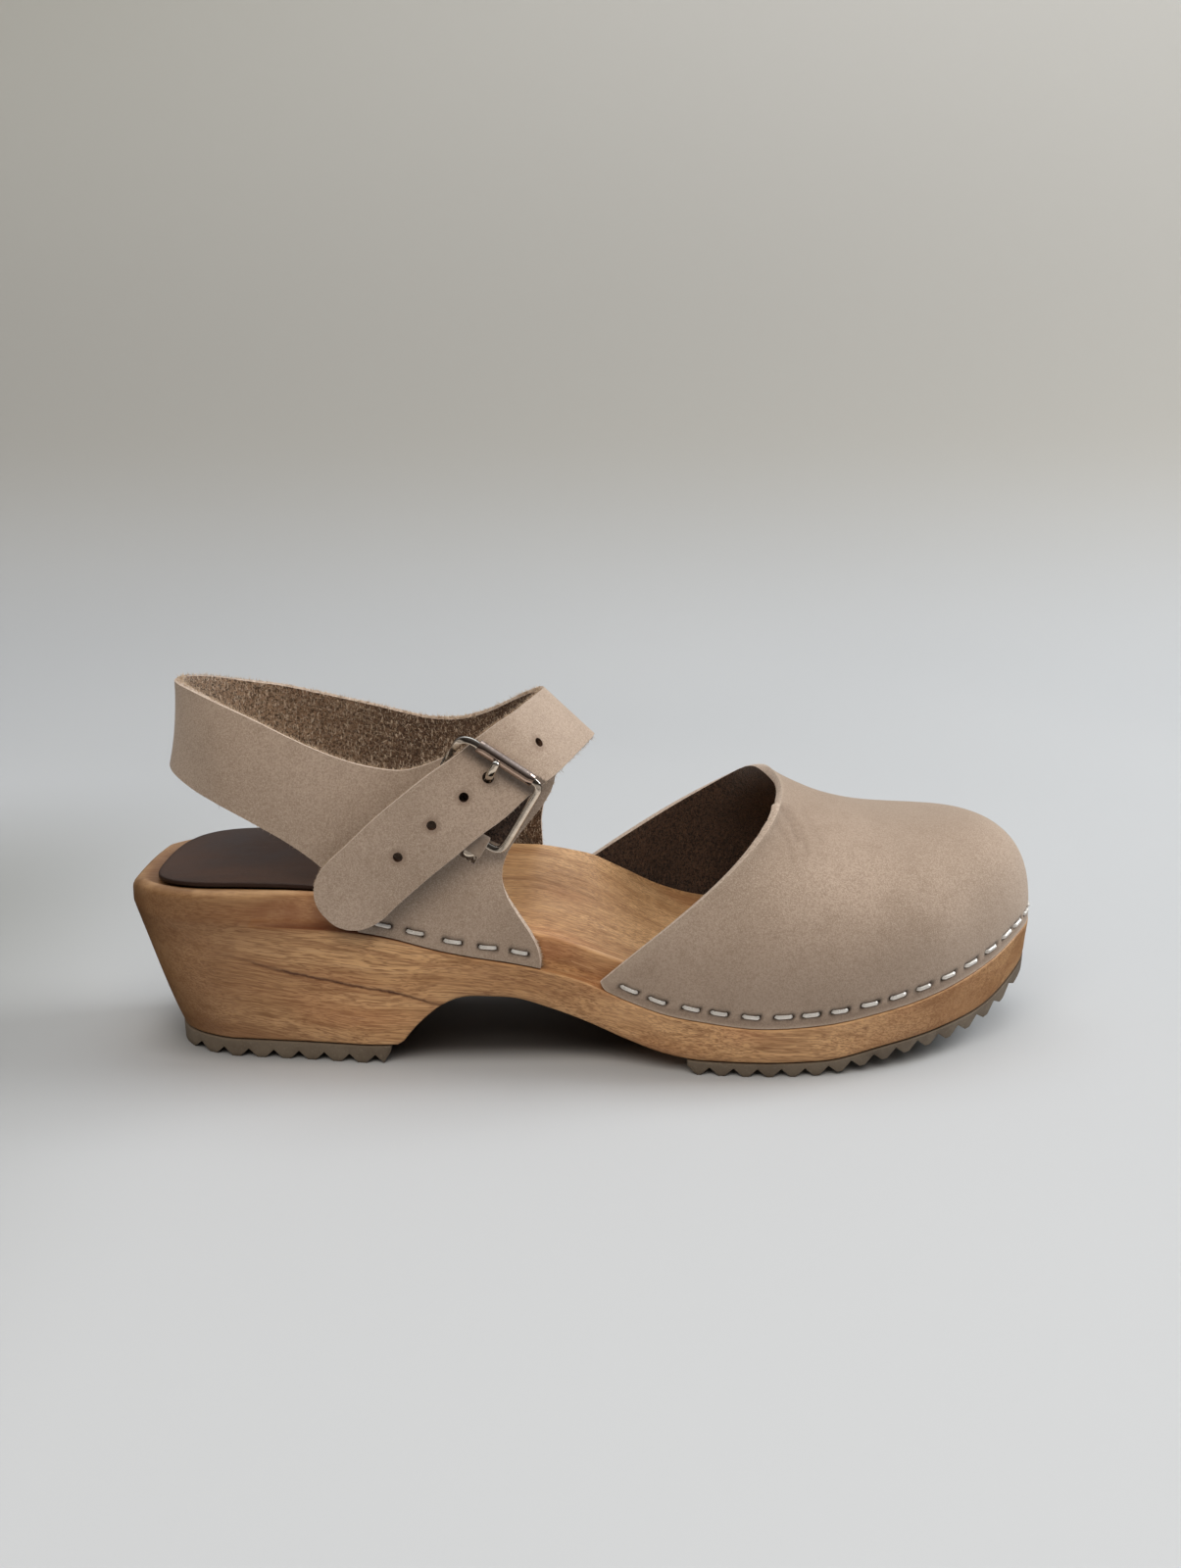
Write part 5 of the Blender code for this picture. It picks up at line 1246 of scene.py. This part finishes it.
def build_ring_shade_sheet(band):
    """Thin dark sheet on the wing behind the buckle, seen through the ring: painted shade inside the ring."""
    g, nr, arc, up, centres, k = band
    cols = k <= 5.5
    pts = g[:, cols].reshape(-1, 3)
    nrs = nr[:, cols].reshape(-1, 3)
    c = np.array([(114.2, 76.6), (104.6, 58.5), (86.4, 69.4), (95.4, 85.0)])
    n1, n2 = 13, 15
    out = np.zeros((n1, n2, 3))
    for a in range(n1):
        for b in range(n2):
            u, v = a/(n1 - 1), b/(n2 - 1)
            # corners rounded by pulling them in
            q = (c[1]*(1 - u) + c[0]*u)*(1 - v) + (c[2]*(1 - u) + c[3]*u)*v
            e = (abs(2*u - 1)**6)*(abs(2*v - 1)**6)
            q = q + (c.mean(0) - q)*0.10*e
            d = (pts[:, 0] - q[0])**2 + (pts[:, 2] - q[1])**2
            i = np.argsort(d)[:6]
            w = 1/(d[i] + 0.05)
            w /= w.sum()
            m = (nrs[i]*w[:, None]).sum(0)
            out[a, b] = np.array([q[0], (pts[i, 1]*w).sum(), q[1]]) + m/np.linalg.norm(m)*0.75
    z0 = np.zeros(out.shape[:2])
    nrm = np.cross(np.gradient(out, axis=1), np.gradient(out, axis=0))
    sign = 1.0 if nrm[5, 5, 1] < 0 else -1.0
    sheet_body("buckle_ring_shade_sheet", out, sign, 0.55, {"dent_and_shade": z0, "crease_shade": z0, "worn": z0}, None, ("r0", "r1", "c0", "c1"),
               mats=[ring_shade_m, ring_shade_m, ring_shade_edge_m])


def finish_metal(ob, node):
    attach(ob, "root")
    if node:
        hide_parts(node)


# ---------------------------------------------------------------- staples
def surface_at(g, nr, arc, up, s, h):
    """Point and outward direction on a sheet at arc length s and height h over its lower edge."""
    c = float(np.interp(s, arc, np.arange(len(arc))))
    i = min(int(c), len(arc) - 2)
    f = c - i
    out = []
    for j in (i, i + 1):
        col = up[:, j]
        r = float(np.interp(h, col, np.arange(len(col))))
        k = min(int(r), len(col) - 2)
        q = r - k
        out.append((g[k, j]*(1 - q) + g[k + 1, j]*q, nr[k, j]*(1 - q) + nr[k + 1, j]*q))
    p = out[0][0]*(1 - f) + out[1][0]*f
    m = out[0][1]*(1 - f) + out[1][1]*f
    return p, m/np.linalg.norm(m)


def build_staples(name, sets):
    vs, fs = [], []
    n = 0
    for g, nr, arc, up, centres in sets:
        for i, s0 in enumerate(centres):
            tilt = rng.uniform(-0.16, 0.16)
            lift = rng.uniform(-0.12, 0.12)
            ln = STAPLE*rng.uniform(0.94, 1.03)
            pts = []
            for q in np.linspace(-0.5, 0.5, 13):
                h = STAPLE_UP + tilt*q*2 + lift
                p, m = surface_at(g, nr, arc, up, s0 + q*ln, h)
                e = abs(q)*2
                # the crown lies in its dent and its shoulders dive into the leather
                sink = -0.02 - 1.25*max(0.0, (e - 0.58)/0.42)**2
                pts.append(p + m*sink)
            path = np.array(pts)
            v, f = swept(path, STAPLE_WIRE*1.02, STAPLE_WIRE*0.80, 12, power=3.6)
            vs.append(v)
            fs += [tuple(a + n for a in q) for q in f]
            n += len(v)
    ob = mesh(name, np.concatenate(vs), fs, staple_m)
    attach(ob, "root")
    return ob


# ---------------------------------------------------------------- fibres
def build_fibres(name, seeds, mat, count_note=""):
    """Short closed three-sided hairs joined into one mesh. seeds: rows of root, direction, length, radius."""
    vs, fs = [], []
    n = 0
    for root, d, ln, r in seeds:
        d = d/max(np.linalg.norm(d), 1e-9)
        a = np.cross(d, (0.3, 0.9, 0.2))
        a /= max(np.linalg.norm(a), 1e-9)
        b = np.cross(d, a)
        bend = rng.normal(0, 0.35, 3)*ln
        mid = root + d*ln*0.55 + bend*0.35
        tip = root + d*ln + bend
        for q in range(3):
            k = 2*math.pi*q/3
            vs.append(root + (a*math.cos(k) + b*math.sin(k))*r)
        for q in range(3):
            k = 2*math.pi*q/3
            vs.append(mid + (a*math.cos(k) + b*math.sin(k))*r*0.7)
        vs.append(tip)
        for q in range(3):
            l = (q + 1) % 3
            fs.append((n + q, n + l, n + 3 + l, n + 3 + q))
            fs.append((n + 3 + q, n + 3 + l, n + 6))
        fs.append((n + 2, n + 1, n))
        n += 7
    ob = mesh(name, np.array(vs), fs, mat)
    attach(ob, "root")
    return ob


def fuzz(band, vamp):
    g, nr, arc, up, centres, k = band
    rows_n, cols_n = g.shape[:2]
    seeds = []
    # flesh side of the strap piece
    cell = np.linalg.norm(np.cross(np.gradient(g, axis=1), np.gradient(g, axis=0)), axis=2)
    w = cell*((k[None, :] < 39) & ((k[None, :] > 4) | (k[None, :] < 1)))*np.where((k[None, :] > 6) & (k[None, :] < 22), 1.0, 0.45)
    w[-1, :] = 0
    w[0, :] = 0
    pick = rng.choice(w.size, 17500, p=(w/w.sum()).ravel())
    for q in pick:
        r_, c_ = divmod(int(q), cols_n)
        c2 = min(c_ + 1, cols_n - 1)
        f = rng.random()
        p = g[r_, c_]*(1 - f) + g[r_, c2]*f - nr[r_, c_]*(LEATHER - 0.03)
        tang = g[r_, c2] - g[r_, c_]
        tang = tang/max(np.linalg.norm(tang), 1e-9)
        d = -nr[r_, c_]*0.42 + tang*rng.normal(0, 0.9) + rng.normal(0, 0.5, 3)
        seeds.append((p, d, rng.uniform(0.7, 1.9), rng.uniform(0.035, 0.065)))
    build_fibres("flesh_fibres", seeds, fibre)
    seeds = []
    # raw edges: upper edge of the heel strap and the front edges stand out most
    for edge_row, count in ((rows_n - 1, 5200), (0, 1200)):
        for _ in range(count):
            c_ = int(rng.integers(1, cols_n - 2))
            if edge_row == 0 and (k[c_] < 6 or 21.5 < k[c_] < 27.5):
                continue
            t = rng.uniform(0.25, 1.0)
            away = g[edge_row, c_] - g[edge_row - 1 if edge_row else 1, c_]
            away /= max(np.linalg.norm(away), 1e-9)
            p = g[edge_row, c_] - nr[edge_row, c_]*LEATHER*t + away*0.05
            d = away*0.6 - nr[edge_row, c_]*rng.uniform(-0.1, 0.8) + rng.normal(0, 0.45, 3)
            strong = 1.0 if k[c_] < 40 else 0.45
            seeds.append((p, d, rng.uniform(0.35, 1.25)*strong, rng.uniform(0.04, 0.07)))
    for c_, sgn in ((0, -1),):
        for _ in range(600):
            r_ = int(rng.integers(1, rows_n - 1))
            t = rng.uniform(0.2, 1.0)
            away = g[r_, 0] - g[r_, 1]
            away /= max(np.linalg.norm(away), 1e-9)
            p = g[r_, 0] - nr[r_, 0]*LEATHER*t + away*0.05
            seeds.append((p, away*0.7 + rng.normal(0, 0.5, 3), rng.uniform(0.25, 0.9), rng.uniform(0.02, 0.035)))
    build_fibres("edge_fibres", seeds, fibre)
    g, nr, arc, up, centres = vamp
    rows_n, cols_n = g.shape[:2]
    seeds = []
    for col in (0, cols_n - 1):
        nb = 1 if col == 0 else cols_n - 2
        for _ in range(420):
            r_ = int(rng.integers(1, rows_n - 1))
            away = g[r_, col] - g[r_, nb]
            away /= max(np.linalg.norm(away), 1e-9)
            p = g[r_, col] - nr[r_, col]*LEATHER*rng.uniform(0.3, 1.0) + away*0.05
            seeds.append((p, away*0.6 - nr[r_, col]*0.4 + rng.normal(0, 0.4, 3), rng.uniform(0.15, 0.45), rng.uniform(0.018, 0.03)))
    build_fibres("vamp_fibres", seeds, fibre)


# ---------------------------------------------------------------- room, light and camera
def build_room():
    m = Mat("paper_floor", 0.85, Specular_IOR_Level=0.2)
    x, y, z = m.parts()
    soft = m.noise(2.5, 1)
    c = m.mix(m.span(soft, 0.3, 0.7), (0.535, 0.562, 0.590), (0.560, 0.586, 0.612))
    # painted shadow on the floor to the left of the shoe
    c = m.mix(m.math("MULTIPLY", m.span(x, -0.09, -0.24, 0, 0.78), m.span(y, 0.34, 0.10)), c, (0.29, 0.30, 0.29))
    # the shade right under the shoe
    far = m.math("SQRT", m.math("ADD", m.math("POWER", m.math("DIVIDE", m.math("ABSOLUTE", m.math("ADD", x, 0.026)), 0.103), 4.0), m.math("POWER", m.math("DIVIDE", m.math("ABSOLUTE", m.math("SUBTRACT", y, 0.006)), 0.039), 4.0)))
    c = m.mix(m.span(far, 1.0, 0.35, 0, 0.90), c, (0.030, 0.024, 0.021))
    # painted light and shade on the backdrop: darker low on the curve, lighter above, darker to the upper left
    c = m.mix(m.span(z, 0.0, 0.16), c, (0.465, 0.462, 0.438))
    c = m.mix(m.span(z, 0.16, 0.70), c, (0.66, 0.665, 0.645))
    c = m.mix(m.math("MULTIPLY", m.span(x, 0.3, -0.7), m.span(z, 0.1, 0.7)), c, (0.56, 0.565, 0.52))
    m.colour(c)
    bm = bmesh.new()
    prof = [(-0.36, 0.0), (-0.2, 0.0), (0.1, 0.0), (0.25, 0.0), (0.4, 0.0)]
    for k in range(1, 25):
        a = math.pi/2*k/24
        prof.append((0.4 + 0.8*math.sin(a), 0.8*(1 - math.cos(a))))
    prof += [(1.2, 1.2), (1.2, 2.2)]
    cols = []
    for xx in np.linspace(-3, 3, 9):
        cols.append([bm.verts.new((xx, yy, zz)) for yy, zz in prof])
    for i in range(len(cols) - 1):
        for j in range(len(prof) - 1):
            bm.faces.new((cols[i][j], cols[i + 1][j], cols[i + 1][j + 1], cols[i][j + 1]))
    me = bpy.data.meshes.new("floor")
    bm.to_mesh(me)
    bm.free()
    ob = bpy.data.objects.new("floor", me)
    bpy.context.scene.collection.objects.link(ob)
    me.materials.append(m.m)
    me.polygons.foreach_set("use_smooth", [True]*len(me.polygons))
    ob.visible_glossy = False


def area(name, loc, target, size, power, colour=(1, 1, 1)):
    ld = bpy.data.lights.new(name, "AREA")
    ld.shape = "RECTANGLE"
    ld.size, ld.size_y = size
    ld.energy = power
    ld.color = colour
    ob = bpy.data.objects.new(name, ld)
    bpy.context.scene.collection.objects.link(ob)
    ob.location = loc
    ob.rotation_euler = (Vector(target) - Vector(loc)).to_track_quat("-Z", "Y").to_euler()
    return ob


def build_light():
    area("key", (1.25, 0.22, 0.85), (0, 0, 0.03), (0.7, 0.7), 13.5, (1.0, 0.99, 0.97))
    area("top", (0.05, 0.45, 1.5), (0, 0, 0.03), (1.4, 1.0), 4.8, (1.0, 1.0, 0.99))
    fill = area("fill", (-0.15, -1.05, 1.15), (0, 0, 0.04), (1.4, 0.8), 13.2, (1.0, 0.90, 0.79))
    fill.visible_glossy = False
    w = bpy.data.worlds.new("room")
    bpy.context.scene.world = w
    w.use_nodes = True
    t = w.node_tree
    bg = t.nodes["Background"]
    co = t.nodes.new("ShaderNodeTexCoord")
    sep = t.nodes.new("ShaderNodeSeparateXYZ")
    t.links.new(co.outputs["Generated"], sep.inputs[0])

    def span(v, a, b, c, d):
        n = t.nodes.new("ShaderNodeMapRange")
        n.interpolation_type = "SMOOTHSTEP"
        for i, q in enumerate((a, b, c, d)):
            n.inputs[i + 1].default_value = q
        t.links.new(v, n.inputs[0])
        return n.outputs[0]

    def times(a, b):
        n = t.nodes.new("ShaderNodeMath")
        n.operation = "MULTIPLY"
        t.links.new(a, n.inputs[0])
        t.links.new(b, n.inputs[1])
        return n.outputs[0]
    # a dim room in front and to the left, brighter above and behind
    level = times(times(span(sep.outputs[2], -0.15, 0.80, 0.04, 0.92), span(sep.outputs[1], -0.9, 0.4, 0.28, 1.0)),
                  span(sep.outputs[0], -0.9, 0.5, 0.42, 1.0))
    # below the horizon only shiny metal sees this: a pale strip low in front, beige above it
    front = span(sep.outputs[1], 0.1, -0.3, 0.0, 1.0)
    strip = times(front, times(span(sep.outputs[2], -0.92, -0.80, 0.0, 1.0), span(sep.outputs[2], -0.46, -0.56, 0.0, 0.85)))
    beige = times(front, times(span(sep.outputs[2], -0.50, -0.40, 0.0, 1.0), span(sep.outputs[2], -0.04, -0.16, 0.0, 0.40)))
    low = t.nodes.new("ShaderNodeMath")
    low.operation = "ADD"
    t.links.new(strip, low.inputs[0])
    t.links.new(beige, low.inputs[1])
    total = t.nodes.new("ShaderNodeMath")
    total.operation = "ADD"
    t.links.new(low.outputs[0], total.inputs[0])
    t.links.new(level, total.inputs[1])
    t.links.new(total.outputs[0], bg.inputs[1])
    ramp = t.nodes.new("ShaderNodeValToRGB")
    e = ramp.color_ramp.elements
    e[0].position, e[0].color = 0.0, (0.60, 0.48, 0.40, 1)
    e[1].position, e[1].color = 0.5, (0.86, 0.90, 0.95, 1)
    t.links.new(level, ramp.inputs[0])
    tint = t.nodes.new("ShaderNodeMix")
    tint.data_type = "RGBA"
    t.links.new(span(low.outputs[0], 0.0, 0.2, 0.0, 1.0), tint.inputs["Factor"])
    t.links.new(ramp.outputs[0], tint.inputs[6])
    tint.inputs[7].default_value = (0.92, 0.80, 0.70, 1)
    t.links.new(tint.outputs[2], bg.inputs[0])


def build_camera():
    cam = dict(f=1735.0, X=127.0, D=455.0, H=170.5, pitch=12.62, yaw=0.7, roll=-0.49)
    cd = bpy.data.cameras.new("view")
    co = bpy.data.objects.new("view", cd)
    bpy.context.scene.collection.objects.link(co)
    cd.sensor_fit = "VERTICAL"
    cd.sensor_height = 36
    cd.lens = cam["f"]/1600*36
    cd.clip_start = 0.01
    cd.clip_end = 50
    yaw, pit, rol = (math.radians(cam[k]) for k in ("yaw", "pitch", "roll"))
    fwd = Vector((math.sin(yaw)*math.cos(pit), math.cos(yaw)*math.cos(pit), -math.sin(pit)))
    right = Vector((math.cos(yaw), -math.sin(yaw), 0))
    up = right.cross(fwd)
    r2 = right*math.cos(rol) + up*math.sin(rol)
    u2 = -right*math.sin(rol) + up*math.cos(rol)
    h = Vector((math.sin(yaw), math.cos(yaw), 0))
    pos = (Vector((cam["X"] - CENTRE[0], -CENTRE[1], 0)) - h*cam["D"] + Vector((0, 0, cam["H"])))*MM
    co.matrix_world = Matrix(((r2.x, u2.x, -fwd.x, pos.x), (r2.y, u2.y, -fwd.y, pos.y), (r2.z, u2.z, -fwd.z, pos.z), (0, 0, 0, 1)))
    bpy.context.scene.camera = co


build_camera()
build_sole()
build_treads()
build_pad()
vamp = build_vamp()
band = build_band()
build_ring_shade_sheet(band)
build_buckle()
build_staples("vamp_staples", [vamp])
build_staples("wing_staples", [band[:5]])
fuzz(band, vamp)
build_room()
build_light()
bpy.context.scene.view_settings.view_transform = "Standard"
